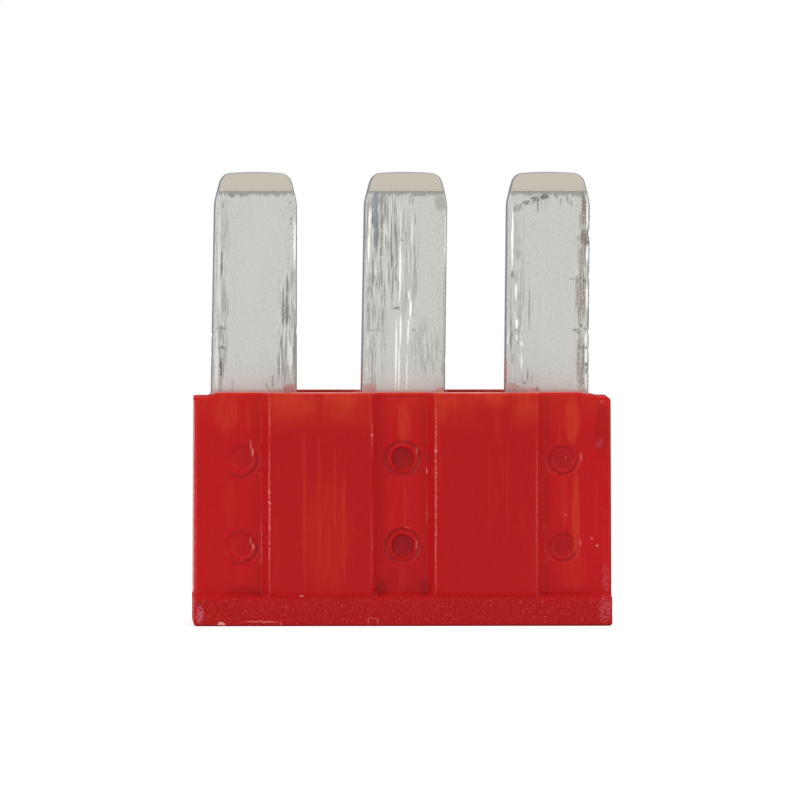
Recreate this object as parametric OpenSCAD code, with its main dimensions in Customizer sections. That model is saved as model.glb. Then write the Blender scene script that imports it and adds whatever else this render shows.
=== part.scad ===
// Three-blade micro automotive fuse: a moulded housing staked over a one-piece stamped element.
// It stands on its head with the blades up. X runs across the blades, Y from front to back.
// The origin is the middle of the head's flat face.

/* [Housing] */
// Width of the head, across the three blades
housing_w = 14.4; // [12:0.1:17]
// Height from the head's face to the mouth where the blades come out
housing_h = 8.02; // [7.8:0.02:8.6]
// Thickness of the head from front to back
head_t = 4.2; // [4.15:0.05:4.6]
// Height of the head band that a puller grips
head_h = 1; // [0.9:0.02:1.1]
// How far each end of the body stands in from the head
end_step = 0.03; // [0.01:0.01:0.08]
// Draft of each end, front and back over the height of the body
draft = 0.04; // [0.01:0.01:0.06]
// How far the mouth drops at its two ends
end_drop = 0.17; // [0.05:0.01:0.25]
// Width of the slope that leads down to a dropped end
end_slope_w = 0.3; // [0.15:0.05:0.5]
// Radius of the upright corners
corner_r = 0.12; // [0.06:0.02:0.2]
// Radius of the edges round the head's face
head_edge_r = 0.12; // [0.06:0.02:0.2]
// Radius of the front and back edges of the mouth
mouth_edge_r = 0.1; // [0.06:0.02:0.16]
// Radius of the mouth's two end corners, seen from the front
mouth_corner_r = 0.18; // [0.1:0.02:0.24]

/* [Panels and bays] */
// Thickness of the body across the two panels that stand over the links
panel_t = 4.1; // [3.9:0.05:4.15]
// Width of the middle bay, between the edges of the two panels
bay_w = 2.2; // [2:0.05:2.4]
// Width of an outer bay, from the end of the head to the edge of its panel
end_bay_w = 2.6; // [2.4:0.05:2.8]
// Width of the sloping flank beside a panel
flank_w = 0.25; // [0.1:0.05:0.35]
// Radius of a panel's upright edges
panel_edge_r = 0.08; // [0.04:0.02:0.14]
// Thickness of the body across the three bays that hold the terminals
bay_t = 3.2; // [3:0.05:3.4]
// Radius where a bay runs out into the head
bay_foot_r = 0.2; // [0.1:0.05:0.3]
// Wall of a panel in front of its chamber
panel_wall = 0.6; // [0.45:0.05:0.75]
// Wall beside a chamber, measured from the edge of its panel
chamber_side = 0.3; // [0.2:0.05:0.4]
// Radius of a chamber's upright corners
chamber_r = 0.3; // [0.15:0.05:0.4]
// Thickness of the head between its face and the slot
floor_t = 1.3; // [1.1:0.05:1.5]

/* [Stakes] */
// Distance of the outer stakes from the end of the head
stake_inset = 1.7; // [1.6:0.05:1.8]
// Height of the row of stakes near the head
stake_z = 2.74; // [2.5:0.02:3]
// Distance between the two rows
stake_rise = 3; // [2.8:0.05:3.1]
// Diameter of a punch mark where it enters the bay
punch_d = 0.82; // [0.76:0.02:0.9]
// Diameter of the punch mark at its floor
punch_floor_d = 0.7; // [0.5:0.02:0.74]
// Depth of the punch mark
punch_depth = 0.7; // [0.4:0.05:0.8]
// Diameter of the shallow dish round a punch mark
dish_d = 1.28; // [1.2:0.02:1.4]
// Diameter of the dish's floor
dish_floor_d = 1.1; // [0.96:0.02:1.16]
// Depth of the dish
dish_depth = 0.07; // [0.03:0.01:0.12]
// Diameter of the peg that a stake drives into its terminal
peg_d = 0.64; // [0.5:0.02:0.7]
// Length of the peg beyond the wall of the slot
peg_l = 0.33; // [0.2:0.01:0.35]

/* [Terminals and blades] */
// Thickness of the stamped element
strip_t = 0.8; // [0.75:0.05:0.9]
// Width of a terminal inside the housing
terminal_w = 2.2; // [2:0.05:2.3]
// Width of a blade
blade_w = 2.9; // [2.8:0.05:3]
// Distance from the middle of an outer blade to the end of the head
blade_inset = 2.2; // [2.1:0.05:2.3]
// Length of a blade beyond the mouth
blade_l = 7.56; // [7:0.04:8]
// Radius rolled on the long edges of a blade
blade_edge_r = 0.13; // [0.06:0.01:0.18]
// Depth below the mouth at which a blade has its full width
shoulder_depth = 0.6; // [0.4:0.05:0.8]
// Height over which a terminal widens to its blade
shoulder_h = 0.4; // [0.2:0.05:0.6]

/* [Blade tips] */
// Height of the bevel coined on both faces of a tip
bevel_h = 0.6; // [0.4:0.05:0.8]
// Depth of the bevel at the end of a tip
bevel_depth = 0.2; // [0.1:0.02:0.26]
// Height over which the sides of a tip draw in
taper_h = 1.05; // [0.8:0.05:1.4]
// How far each side of a tip draws in
taper_w = 0.24; // [0.15:0.01:0.35]
// Radius where the sides begin to draw in
taper_r = 0.8; // [0.4:0.1:1.2]
// Radius of the corners of a tip
tip_corner_r = 0.32; // [0.15:0.01:0.35]
// How far the middle of a tip stands above its corners
tip_crown = 0.04; // [0.02:0.01:0.06]
// Radius of the crown at the middle of a tip
tip_crown_r = 12; // [8:1:14]

/* [Fuse links] */
// Thickness of a link, thinner than the terminals
link_t = 0.35; // [0.25:0.05:0.5]
// Width of a link
link_w = 0.55; // [0.45:0.05:0.65]
// Width of the neck that melts, in the middle of a link
neck_w = 0.3; // [0.2:0.02:0.4]
// Radius of the two notches that form the neck
notch_r = 0.35; // [0.25:0.05:0.45]
// Radius of a link's bend, at its middle line
bend_r = 0.8; // [0.7:0.05:0.85]
// Radius where a link turns into a terminal, at its middle line
elbow_r = 0.45; // [0.35:0.05:0.5]
// Height of the neck above the head's face, at its middle line
neck_z = 2.6; // [2.2:0.05:2.8]
// Height at which a link leaves its terminals
link_z = 5.6; // [5.2:0.05:6]

/* [Test windows] */
// Width of the window in the head under each terminal
window_w = 1.4; // [1.2:0.05:1.6]
// Size of that window from front to back
window_t = 0.8; // [0.6:0.05:1]
// Radius of the window's corners
window_r = 0.12; // [0.06:0.02:0.2]

/* [Clearances] */
// Gap on each face of the element in its slot
slot_clear = 0.05; // [0.02:0.01:0.08]
// Gap at each end of the slot, and under the terminals
end_clear = 0.05; // [0.02:0.01:0.1]
// Gap round a peg in its hole
peg_clear = 0.04; // [0.02:0.01:0.06]
// Width of the chamfer that leads into the slot
lead_in = 0.12; // [0.06:0.02:0.2]

/* [Hidden] */
$fn = 48;

arc_steps = 6; // straight steps in a rounded corner
over = 1; // how far a cutting or bounding shape runs past what it shapes
lap = 0.05; // how far a shape runs into the one that it joins

body_w = housing_w - 2 * end_step;
stake_pitch = housing_w / 2 - stake_inset;
blade_pitch = housing_w / 2 - blade_inset;
panel_w = (housing_w - bay_w) / 2 - end_bay_w;
panel_x = (bay_w + panel_w) / 2;
slot_t = strip_t + 2 * slot_clear;
slot_end = max(stake_pitch + terminal_w / 2, blade_pitch + blade_w / 2) + end_clear;
end_z = housing_h - end_drop;
terminal_z = floor_t + end_clear;
shoulder_z = housing_h - shoulder_depth;
tip_z = housing_h + blade_l;
terminal_xs = [-stake_pitch, 0, stake_pitch];
blade_xs = [-blade_pitch, 0, blade_pitch];
link_xs = [-stake_pitch / 2, stake_pitch / 2];
stake_zs = [stake_z, stake_z + stake_rise];

function unit(v) = v / norm(v);
function cross_z(u, v) = u.x * v.y - u.y * v.x;
function flipped(corners) = [for (i = [len(corners) - 1:-1:0]) [-corners[i].x, corners[i].y, corners[i].z]];

function arc(centre, r, from, sweep) =
    [for (i = [0:arc_steps]) centre + r * [cos(from + sweep * i / arc_steps), sin(from + sweep * i / arc_steps)]];

// The arc of radius r that rounds a corner at b, on the way from a to c.
function corner_arc(a, b, c, r) =
    let (
        u = unit(a - b),
        v = unit(c - b),
        half = acos(u * v) / 2,
        centre = b + unit(u + v) * r / sin(half),
        start = b + u * r / tan(half) - centre
    )
    arc(centre, r, atan2(start.y, start.x), (2 * half - 180) * sign(cross_z(u, v)));

// An outline given as corners [x, y, r], each rounded by its own r.
module outline(corners) {
    n = len(corners);
    flat = [for (corner = corners) [corner.x, corner.y]];
    polygon([
        for (i = [0:n - 1])
            each corners[i].z > 0
                ? corner_arc(flat[(i + n - 1) % n], flat[i], flat[(i + 1) % n], corners[i].z)
                : [flat[i]]
    ]);
}

// An outline that is alike on both sides of its upright axis, given by its right half from the foot up.
module even_outline(half) {
    outline(concat(half, flipped(half)));
}

module rounded_rect(w, d, r) {
    even_outline([[w / 2, -d / 2, r], [w / 2, d / 2, r]]);
}

// Carries an outline drawn in X and Z over the depth d, from front to back.
module through_y(d) {
    rotate([90, 0, 0]) linear_extrude(d, center = true) children();
}

// Carries an outline drawn in Y and Z over the width w, from side to side.
module through_x(w) {
    rotate([90, 0, 90]) linear_extrude(w, center = true) children();
}

module on_both_faces() {
    for (turn = [0, 180]) rotate(turn) children();
}

// Puts its children at each stake in the plane y in front of the middle, with +Z into the housing.
module at_stakes(y) {
    for (x = terminal_xs, z = stake_zs)
        translate([x, -y, z]) rotate([-90, 0, 0]) children();
}

// The housing from the front: a small step over the head, drafted ends, and a mouth that drops at both ends.
module front_outline() {
    even_outline([
        [housing_w / 2, 0, head_edge_r],
        [housing_w / 2, head_h, 0],
        [body_w / 2, head_h, 0],
        [body_w / 2 - draft, end_z, mouth_corner_r],
        [slot_end, end_z, 0],
        [slot_end - end_slope_w, housing_h, 0]
    ]);
}

// A wall of thickness t from the side, drafted from the foot of the bays to the rounded edges of the mouth.
module side_outline(t) {
    even_outline([
        [t / 2, head_h / 2, 0],
        [t / 2, head_h + bay_foot_r, 0],
        [t / 2 - draft, housing_h, mouth_edge_r]
    ]);
}

module head() {
    intersection() {
        linear_extrude(head_h) rounded_rect(housing_w, head_t, corner_r);
        through_x(housing_w + over)
            even_outline([
                [head_t / 2, 0, head_edge_r],
                [head_t / 2, head_h + over, 0]
            ]);
    }
}

// The part of the body that shows in the bays.
module core() {
    intersection() {
        linear_extrude(housing_h) rounded_rect(body_w, bay_t, corner_r);
        through_x(housing_w) side_outline(bay_t);
    }
}

// The round that carries the bays out into the head, drawn as one strip that runs on behind the panels.
module bay_foot() {
    on_both_faces()
        translate([0, -bay_t / 2, head_h])
            through_x(body_w - 2 * corner_r)
                polygon(concat(
                    [[-bay_foot_r, -lap], [lap, -lap], [lap, bay_foot_r]],
                    arc([-bay_foot_r, bay_foot_r], bay_foot_r, 0, -90)
                ));
}

// A panel in plan, front and back in one: flat, with flanks that slope down into the bays.
module panel_plan() {
    slope = 2 * flank_w / (panel_t - bay_t);
    sunk = 2 * draft;
    foot_x = panel_w / 2 + flank_w + slope * sunk;
    even_outline([
        [panel_w / 2, -panel_t / 2, panel_edge_r],
        [foot_x, sunk - bay_t / 2, 0],
        [foot_x, bay_t / 2 - sunk, 0],
        [panel_w / 2, panel_t / 2, panel_edge_r]
    ]);
}

module panels() {
    intersection() {
        for (side = [-1, 1])
            translate([side * panel_x, 0, 0]) linear_extrude(housing_h) panel_plan();
        through_x(housing_w) side_outline(panel_t);
    }
}

// The slot that holds the element, open at the mouth, with a chamber round each link.
module cavity() {
    through_x(2 * slot_end)
        even_outline([
            [slot_t / 2, floor_t, 0],
            [slot_t / 2, housing_h - lead_in, 0],
            [slot_t / 2 + lead_in + over, housing_h + over, 0]
        ]);
    for (side = [-1, 1])
        translate([side * panel_x, 0, floor_t])
            linear_extrude(housing_h)
                rounded_rect(panel_w - 2 * chamber_side, panel_t - 2 * panel_wall, chamber_r);
}

module test_windows() {
    for (x = terminal_xs)
        translate([x, 0, -over])
            linear_extrude(over + floor_t + lap) rounded_rect(window_w, window_t, window_r);
}

// What a staking punch leaves: a shallow dish round a deep mark with steep walls.
module punch_mark() {
    translate([0, 0, -draft]) cylinder(h = draft, d = dish_d);
    cylinder(h = dish_depth, d1 = dish_d, d2 = dish_floor_d);
    cylinder(h = punch_depth, d1 = punch_d, d2 = punch_floor_d);
}

module peg() {
    cylinder(h = lap + peg_l, d = peg_d);
}

module housing() {
    color("firebrick") {
        difference() {
            intersection() {
                through_y(head_t + over) front_outline();
                union() {
                    head();
                    core();
                    bay_foot();
                    panels();
                }
            }
            cavity();
            test_windows();
            on_both_faces() at_stakes(bay_t / 2 - draft) punch_mark();
        }
        on_both_faces() at_stakes(slot_t / 2 + lap) peg();
    }
}

// A blade from the front, from its shoulder to its drawn-in and crowned tip.
module blade_outline() {
    half = [
        [blade_w / 2, shoulder_z, 0],
        [blade_w / 2, tip_z - taper_h, taper_r],
        [blade_w / 2 - taper_w, tip_z - tip_crown, tip_corner_r]
    ];
    outline(concat(half, [[0, tip_z, tip_crown_r]], flipped(half)));
}

// A blade: its long edges rolled, its tip drawn in and bevelled on both faces.
module blade() {
    intersection() {
        linear_extrude(tip_z + over) rounded_rect(blade_w, strip_t, blade_edge_r);
        through_y(strip_t + over) blade_outline();
        through_x(blade_w + over)
            even_outline([
                [strip_t / 2, 0, 0],
                [strip_t / 2, tip_z - bevel_h, 0],
                [strip_t / 2 - bevel_depth, tip_z, 0]
            ]);
    }
}

// A terminal that widens to a blade whose middle stands at blade_x. Its top ends within the rolled edges.
module terminal(x, blade_x) {
    top_half_w = blade_w / 2 - blade_edge_r;
    top_z = shoulder_z + blade_edge_r;
    widening_z = shoulder_z - shoulder_h;
    through_y(strip_t)
        polygon([
            [x - terminal_w / 2, terminal_z],
            [x + terminal_w / 2, terminal_z],
            [x + terminal_w / 2, widening_z],
            [blade_x + top_half_w, top_z],
            [blade_x - top_half_w, top_z],
            [x - terminal_w / 2, widening_z]
        ]);
}

// A quarter of a ring of middle radius r and width w, in the first quadrant.
module quarter_ring(r, w) {
    intersection() {
        difference() {
            circle(r + w / 2);
            circle(r - w / 2);
        }
        square(r + w);
    }
}

// A fuse link: a thin U that hangs from two terminals, notched to a neck at the bottom of its bend.
// Where the terminals leave little room, the bend is tighter.
module link() {
    room = (stake_pitch - terminal_w) / 2;
    r = min(bend_r, room - elbow_r);
    bend_z = neck_z + r;
    elbow_x = r + elbow_r;
    elbow_z = link_z - elbow_r;
    arm_end = room + lap;
    through_y(link_t)
        difference() {
            for (side = [0, 1])
                mirror([side, 0]) {
                    translate([0, bend_z]) rotate(-90) quarter_ring(r, link_w);
                    translate([r - link_w / 2, bend_z]) square([link_w, elbow_z - bend_z]);
                    translate([elbow_x, elbow_z]) rotate(90) quarter_ring(elbow_r, link_w);
                    translate([elbow_x, link_z - link_w / 2]) square([arm_end - elbow_x, link_w]);
                }
            for (side = [-1, 1])
                translate([0, neck_z + side * (neck_w / 2 + notch_r)]) circle(notch_r);
        }
}

module fuse_element() {
    color("silver") difference() {
        union() {
            for (i = [0:2]) {
                terminal(terminal_xs[i], blade_xs[i]);
                translate([blade_xs[i], 0, 0]) blade();
            }
            for (x = link_xs) translate([x, 0, 0]) link();
        }
        at_stakes(strip_t) cylinder(h = 2 * strip_t, d = peg_d + 2 * peg_clear);
    }
}

housing();
fuse_element();
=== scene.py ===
"""A three-blade micro automotive fuse: a moulded red housing staked over a stamped zinc element.

It stands on its head with the blades up. X runs across the blades, Y from front to back, Z up.
"""

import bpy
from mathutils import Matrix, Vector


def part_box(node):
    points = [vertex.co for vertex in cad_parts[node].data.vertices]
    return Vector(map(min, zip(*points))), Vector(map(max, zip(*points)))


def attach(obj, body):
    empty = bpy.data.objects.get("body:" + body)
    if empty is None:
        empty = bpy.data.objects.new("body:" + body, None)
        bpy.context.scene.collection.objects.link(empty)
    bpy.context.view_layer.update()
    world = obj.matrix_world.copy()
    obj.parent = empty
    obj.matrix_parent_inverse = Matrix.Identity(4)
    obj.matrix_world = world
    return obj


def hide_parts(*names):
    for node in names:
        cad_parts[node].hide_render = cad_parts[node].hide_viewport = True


bl_info = {
    "name": "Micro Blade Fuse",
    "version": (1, 0, 0),
    "blender": (4, 5, 0),
    "location": "View3D > Sidebar > Fuse",
    "description": "Builds a three-blade micro fuse and the plain studio it stands in",
    "category": "Add Mesh",
}

from math import cos, pi, radians, sin

import bpy
import numpy as np
from bpy.props import FloatProperty, FloatVectorProperty, PointerProperty
from mathutils import Vector

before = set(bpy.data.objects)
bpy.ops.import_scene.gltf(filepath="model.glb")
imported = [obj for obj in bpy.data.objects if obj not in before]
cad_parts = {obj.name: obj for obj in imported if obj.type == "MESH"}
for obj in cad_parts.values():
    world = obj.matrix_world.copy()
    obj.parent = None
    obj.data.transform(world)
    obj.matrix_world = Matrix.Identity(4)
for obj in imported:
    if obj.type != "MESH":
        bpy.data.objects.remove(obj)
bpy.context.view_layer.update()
HOUSING_LOW, HOUSING_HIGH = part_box("housing")
ELEMENT_LOW, ELEMENT_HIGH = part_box("fuse_element")

MM = 0.001
BODY = "root"
HOUSING = "moulded_housing"
ELEMENT = "stamped_element"
# The angles between two faces above which the edge between them stays sharp.
HOUSING_CREASE = radians(38)
ELEMENT_CREASE = radians(15)


def length(name, description, millimetres):
    """A size property, given in millimetres and kept in metres."""
    return FloatProperty(
        name=name, description=description, default=millimetres * MM, min=0.0, precision=5, unit="LENGTH"
    )


def share(name, description, default):
    """A property that goes from 0 to 1."""
    return FloatProperty(
        name=name, description=description, default=default, min=0.0, max=1.0, subtype="FACTOR"
    )


def shade(name, description, red, green, blue):
    """A colour property, given as it shows on a screen from 0 to 255 and kept as linear light."""
    shown = np.array([red, green, blue]) / 255
    linear = np.where(shown > 0.04045, ((shown + 0.055) / 1.055) ** 2.4, shown / 12.92)
    return FloatVectorProperty(
        name=name, description=description, default=linear.tolist(), size=3, min=0.0, max=1.0, subtype="COLOR"
    )


class FUSE_PG_housing(bpy.types.PropertyGroup):
    """Sizes of the moulded housing."""

    head_width: length(
        "Head width", "Width of the head, across the blades", (HOUSING_HIGH.x - HOUSING_LOW.x) / MM
    )
    head_thickness: length(
        "Head thickness", "Thickness of the head band", (HOUSING_HIGH.y - HOUSING_LOW.y) / MM
    )
    head_height: length("Head height", "Height of the head band", 1.0)
    height: length(
        "Height", "Height from the head's face to the mouth", (HOUSING_HIGH.z - HOUSING_LOW.z) / MM
    )
    end_step: length("End step", "How far each end of the body stands in from the head", 0.012)
    draft: length("Draft", "How far each wall leans in over the height of the body", 0.03)
    end_drop: length("End drop", "How far the mouth drops at its two ends", 0.17)
    left_slope: length("Left slope", "Width of the slope down to the dropped left end", 0.3)
    right_slope: length("Right slope", "Width of the slope down to the dropped right end", 0.6)
    right_run: length("Right run", "How far that slope runs on beyond the slot", 0.08)
    corner_radius: length("Corner radius", "Radius of the upright corners", 0.12)
    base_radius: length("Base radius", "Radius of the edges round the head's face", 0.12)
    mouth_radius: length("Mouth radius", "Radius of the mouth's front and back edges", 0.1)
    left_corner: length("Left corner", "Radius of the mouth's left end corner, seen from the front", 0.06)
    right_corner: length("Right corner", "Radius of the mouth's right end corner, seen from the front", 0.14)
    ledge_radius: length("Ledge radius", "Radius of the head band's upper edge", 0.03)
    foot_height: length("Foot height", "Height of the foot, below which no wall leans", 0.32)
    panel_thickness: length("Panel thickness", "Thickness of the body across its panels", 4.16)
    bay_thickness: length("Bay thickness", "Thickness of the body across its bays", 3.2)
    bay_width: length("Middle bay", "Width of the middle bay, between the panels", 2.2)
    panel_width: length("Panel width", "Width of a panel's flat", 3.5)
    flank: length("Flank", "Width of the slope beside a panel", 0.25)
    stake_pitch: length("Stake pitch", "Distance from one column of stakes to the next", 5.5)
    stake_height: length("Stake height", "Height of the row of stakes near the head", 2.74)
    stake_rise: length("Stake rise", "Distance between the two rows of stakes", 3.0)
    punch_width: length("Punch width", "Diameter of a punch mark where it enters the bay", 0.82)
    punch_floor: length("Punch floor", "Diameter of a punch mark at its floor", 0.7)
    punch_depth: length("Punch depth", "Depth of a punch mark", 0.7)
    dish_width: length("Dish width", "Diameter of the dish round a punch mark", 1.28)
    dish_floor: length("Dish floor", "Diameter of the dish's floor", 1.1)
    dish_depth: length("Dish depth", "Depth of the dish", 0.07)
    burr: length("Burr", "Softness of the edges that the punch leaves", 0.05)
    floor_thickness: length("Floor", "Thickness of the head between its face and the slot", 1.3)
    slot_length: length("Slot length", "Length of the slot that holds the element", 13.3)
    slot_thickness: length("Slot", "Width of that slot from front to back", 0.9)
    lead_in: length("Lead-in", "Width of the chamfer that leads into the slot", 0.12)
    chamber_width: length("Chamber width", "Width of the chamber round a link", 2.9)
    chamber_radius: length("Chamber radius", "Radius of a chamber's upright corners", 0.3)
    window_width: length("Window width", "Width of a test window in the head", 1.4)
    window_thickness: length("Window depth", "Size of a test window from front to back", 0.8)
    window_radius: length("Window radius", "Radius of a test window's corners", 0.12)
    peg_width: length("Peg", "Diameter of the peg that a stake drives into its terminal", 0.64)
    peg_length: length("Peg length", "Length of a peg beyond the wall of the slot", 0.33)


class FUSE_PG_element(bpy.types.PropertyGroup):
    """Sizes of the stamped element."""

    thickness: length("Thickness", "Thickness of the strip", (ELEMENT_HIGH.y - ELEMENT_LOW.y) / MM)
    foot: length("Foot", "Height of the terminals' lower ends", ELEMENT_LOW.z / MM)
    tip: length("Tip", "Height of the blades' crowned tips", ELEMENT_HIGH.z / MM)
    terminal_width: length("Terminal width", "Width of a terminal in its slot", 2.2)
    blade_width: length("Blade width", "Width of a blade", 2.9)
    blade_pitch: length("Blade pitch", "Distance from one blade to the next", 5.0)
    edge_radius: length("Edge radius", "Radius rolled on the blades' long edges", 0.09)
    shoulder_low: length("Shoulder start", "Height at which a terminal starts to widen", 7.02)
    shoulder_high: length("Shoulder end", "Height at which a blade has its full width", 7.42)
    bevel_height: length("Bevel height", "Height of the bevel coined on a tip", 0.65)
    bevel_depth: length("Bevel depth", "Depth of that bevel at the end of the tip", 0.2)
    taper_height: length("Taper height", "Height over which the sides of a tip draw in", 1.05)
    taper_width: length("Taper width", "How far each side of a tip draws in", 0.26)
    tip_corner: length("Tip corner", "Radius of a tip's corners", 0.32)
    tip_crown: length("Tip crown", "How far the middle of a tip stands above its corners", 0.035)
    hole: length("Hole", "Diameter of the holes that the pegs enter", 0.72)
    link_thickness: length("Link thickness", "Thickness of a link", 0.35)
    link_width: length("Link width", "Width of a link", 0.55)
    neck_width: length("Neck width", "Width of the neck that melts", 0.3)
    notch_radius: length("Notch radius", "Radius of the notches that form the neck", 0.35)
    bend_radius: length("Bend radius", "Radius of a link's bend", 0.8)
    elbow_radius: length("Elbow radius", "Radius where a link turns into a terminal", 0.45)
    neck_height: length("Neck height", "Height of the neck", 2.6)
    link_height: length("Link height", "Height at which a link leaves its terminals", 5.6)
    link_lap: length("Link lap", "How far a link runs into its terminals", 0.05)


class FUSE_PG_finish(bpy.types.PropertyGroup):
    """Colours and finishes."""

    bay: shade("Bay", "Red of the recessed bays", 184, 16, 21)
    panel: shade("Panel", "Deeper red of the panels", 176, 15, 20)
    head: shade("Head", "Red of the head band", 168, 14, 17)
    glow: shade("Glow", "Orange red where light comes through the plastic", 199, 57, 31)
    # Flank: a lighter red painted on the slopes beside the panels, fully where they turn from the key lamp,
    # and into the punch marks: painted light against their shade.
    flank: shade("Flank", "Red of the slopes beside the panels", 190, 30, 33)
    # Deep red: painted shade at the feet of the bays, in the punch marks, in arcs round them and along the
    # base.
    shadow: shade("Deep red", "Red of the punch marks and inner corners", 128, 12, 18)
    # Rubbed plastic: real scuffed edges and scratches, and also painted highlights along the panels' edges,
    # painted glints at the stakes and a painted sheen on the mouth.
    rubbed: shade("Rubbed plastic", "Pale pink of scuffed edges", 228, 150, 142)
    bruised: shade("Bruised plastic", "Pinkish mauve of the scuffed corners", 196, 96, 112)
    translucency: share("Translucency", "Share of the light that spreads inside the plastic", 0.4)
    light_reach: length("Light reach", "How far light spreads inside the plastic", 0.5)
    gloss: share("Gloss", "Strength of the plastic's reflections", 0.12)
    zinc: shade("Zinc", "Grey of the plated strip", 188, 188, 184)
    zinc_dark: shade("Dark zinc", "Grey of the drawing marks", 96, 95, 91)
    # Bright zinc: burnished lines, and also painted highlights along the blades' edges and painted light
    # lifting the roots.
    zinc_bright: shade("Bright zinc", "Near white of the burnished lines", 236, 236, 231)
    blued: shade("Blued zinc", "Blue grey of the broad streaks", 118, 126, 129)
    browned: shade("Browned zinc", "Brown grey of the worn long edges", 124, 112, 103)
    # Sheared edge: blue grey painted as shade along the blades' edges, strongest on the left.
    outline: shade("Sheared edge", "Blue grey of the sheared edges", 128, 130, 139)
    # A painted reflection of the housing's red on the blades' roots.
    red_reflection: shade("Reddened zinc", "Red of the housing on the blades' roots", 186, 92, 88)
    # Tip and tip's foot: the coined bevels' greys are a painted reflection of what the upturned bevels face.
    tip: shade("Tip", "Warm grey of the coined tips", 175, 169, 158)
    tip_low: shade("Tip's foot", "Greener grey along a coined tip's lower edge", 169, 167, 152)


class FUSE_PG_stage(bpy.types.PropertyGroup):
    """The studio."""

    camera_distance: length("Camera distance", "Distance from the camera to the middle of the fuse", 600)
    camera_height: length("Camera height", "Height of the camera above the floor", 27.12)
    aim_x: length("Aim across", "How far left of the fuse's middle the camera aims", 0.052)
    aim_z: length("Aim height", "Height at which the camera aims", 7.71)
    view_width: length("View width", "Width of the picture at the front of the head", 27.46)
    azimuth: FloatProperty(
        name="Azimuth",
        description="How far round to the left the camera stands",
        default=radians(1.6),
        subtype="ANGLE",
    )
    floor_radius: length("Floor radius", "Radius of the round floor", 32)
    ambient: share("Ambient", "Strength of the room's even light", 0.52)


def smooth_step(low, high, value):
    """0 below low, 1 above high, and three t squared less two t cubed between them."""
    t = np.clip((value - low) / (high - low), 0, 1)
    return t * t * (3 - 2 * t)


def eased_ramp(t, ease):
    """A straight ramp from 0 to 1 as t goes from 0 to 1, with a parabola of half width ease at each
    corner."""
    t = np.asarray(t, float)
    ramp = np.clip(t, 0, 1)
    foot = np.abs(t) < ease
    top = np.abs(t - 1) < ease
    ramp = np.where(foot, (t + ease) ** 2 / (4 * ease), ramp)
    return np.where(top, 1 - (1 + ease - t) ** 2 / (4 * ease), ramp)


def stops(*values):
    """Even steps between places. The values are place, number of steps, place, and so on to the last
    place."""
    legs = [np.linspace(a, b, n, endpoint=False) for a, n, b in zip(values[0::2], values[1::2], values[2::2])]
    return np.concatenate(legs + [[values[-1]]])


def ring_faces(rows, columns):
    """Quads between closed rings of points that are numbered ring by ring."""
    row, column = np.meshgrid(np.arange(rows - 1), np.arange(columns), indexing="ij")
    beside = (column + 1) % columns
    corners = [row * columns + column, row * columns + beside]
    corners += [corners[1] + columns, corners[0] + columns]
    return np.stack(corners, axis=-1).reshape(-1, 4).tolist()


def closed_loft(rings):
    """A skin over closed rings, an array of rows, points and X Y Z, with a flat face over each end."""
    rows, columns, _ = rings.shape
    faces = ring_faces(rows, columns)
    faces.append(list(range(columns - 1, -1, -1)))
    faces.append(list(range((rows - 1) * columns, rows * columns)))
    return rings.reshape(-1, 3), faces


def mirrored_loft(halves):
    """A skin over rings that are alike in front and behind. A half ring runs from the left end, where Y is
    0, round the front to the right end. Its mirror in Y closes the ring, and strips from front to back
    close the lowest and the highest ring."""
    rows, count, _ = halves.shape
    behind = halves[:, -2:0:-1] * [1, -1, 1]
    rings = np.concatenate([halves, behind], axis=1)
    columns = rings.shape[1]
    faces = ring_faces(rows, columns)
    for first, turn in ((0, -1), ((rows - 1) * columns, 1)):
        front = np.arange(count)
        back = (columns - front) % columns
        inner = np.stack([front[1:-2], front[2:-1], back[2:-1], back[1:-2]], axis=-1) + first
        faces += inner[:, ::turn].tolist()
        ends = [[0, 1, back[1]], [count - 2, count - 1, back[count - 2]]]
        faces += [[int(i) + first for i in end[::turn]] for end in ends]
    return rings.reshape(-1, 3), faces


def joined(parts):
    """Several skins as one list of points and faces."""
    points, faces, count = [], [], 0
    for part_points, part_faces in parts:
        points.append(part_points)
        faces += [[i + count for i in face] for face in part_faces]
        count += len(part_points)
    return np.concatenate(points), faces


def new_object(name, skin):
    """An object at the origin whose mesh holds the skin's points and faces."""
    points, faces = skin
    mesh = bpy.data.meshes.new(name)
    mesh.from_pydata(points.tolist(), [], faces)
    made = bpy.data.objects.new(name, mesh)
    bpy.context.scene.collection.objects.link(made)
    return made


def cut_and_join(base, steps):
    """Applies Boolean steps to base, each an operation and a skin, and leaves one plain mesh."""
    tools = []
    for operation, skin in steps:
        tool = new_object("tool", skin)
        modifier = base.modifiers.new("step", "BOOLEAN")
        modifier.operation = operation
        modifier.solver = "MANIFOLD"
        modifier.object = tool
        tools.append(tool)
    graph = bpy.context.evaluated_depsgraph_get()
    finished = bpy.data.meshes.new_from_object(base.evaluated_get(graph))
    rough = base.data
    base.modifiers.clear()
    base.data = finished
    bpy.data.meshes.remove(rough)
    for tool in tools:
        mesh = tool.data
        bpy.data.objects.remove(tool)
        bpy.data.meshes.remove(mesh)
    if not finished.polygons:
        raise RuntimeError(f"{base.name} came out empty")


def finish_piece(piece, name, node, material, crease):
    """Names the piece, shades it smooth up to the crease angle and hands it to the frame."""
    piece.name = name
    piece.data.name = name
    piece.data.materials.clear()
    piece.data.materials.append(material)
    piece.data.polygons.foreach_set("use_smooth", np.ones(len(piece.data.polygons), bool))
    piece.data.set_sharp_from_angle(angle=crease)
    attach(piece, BODY)
    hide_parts(node)


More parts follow.
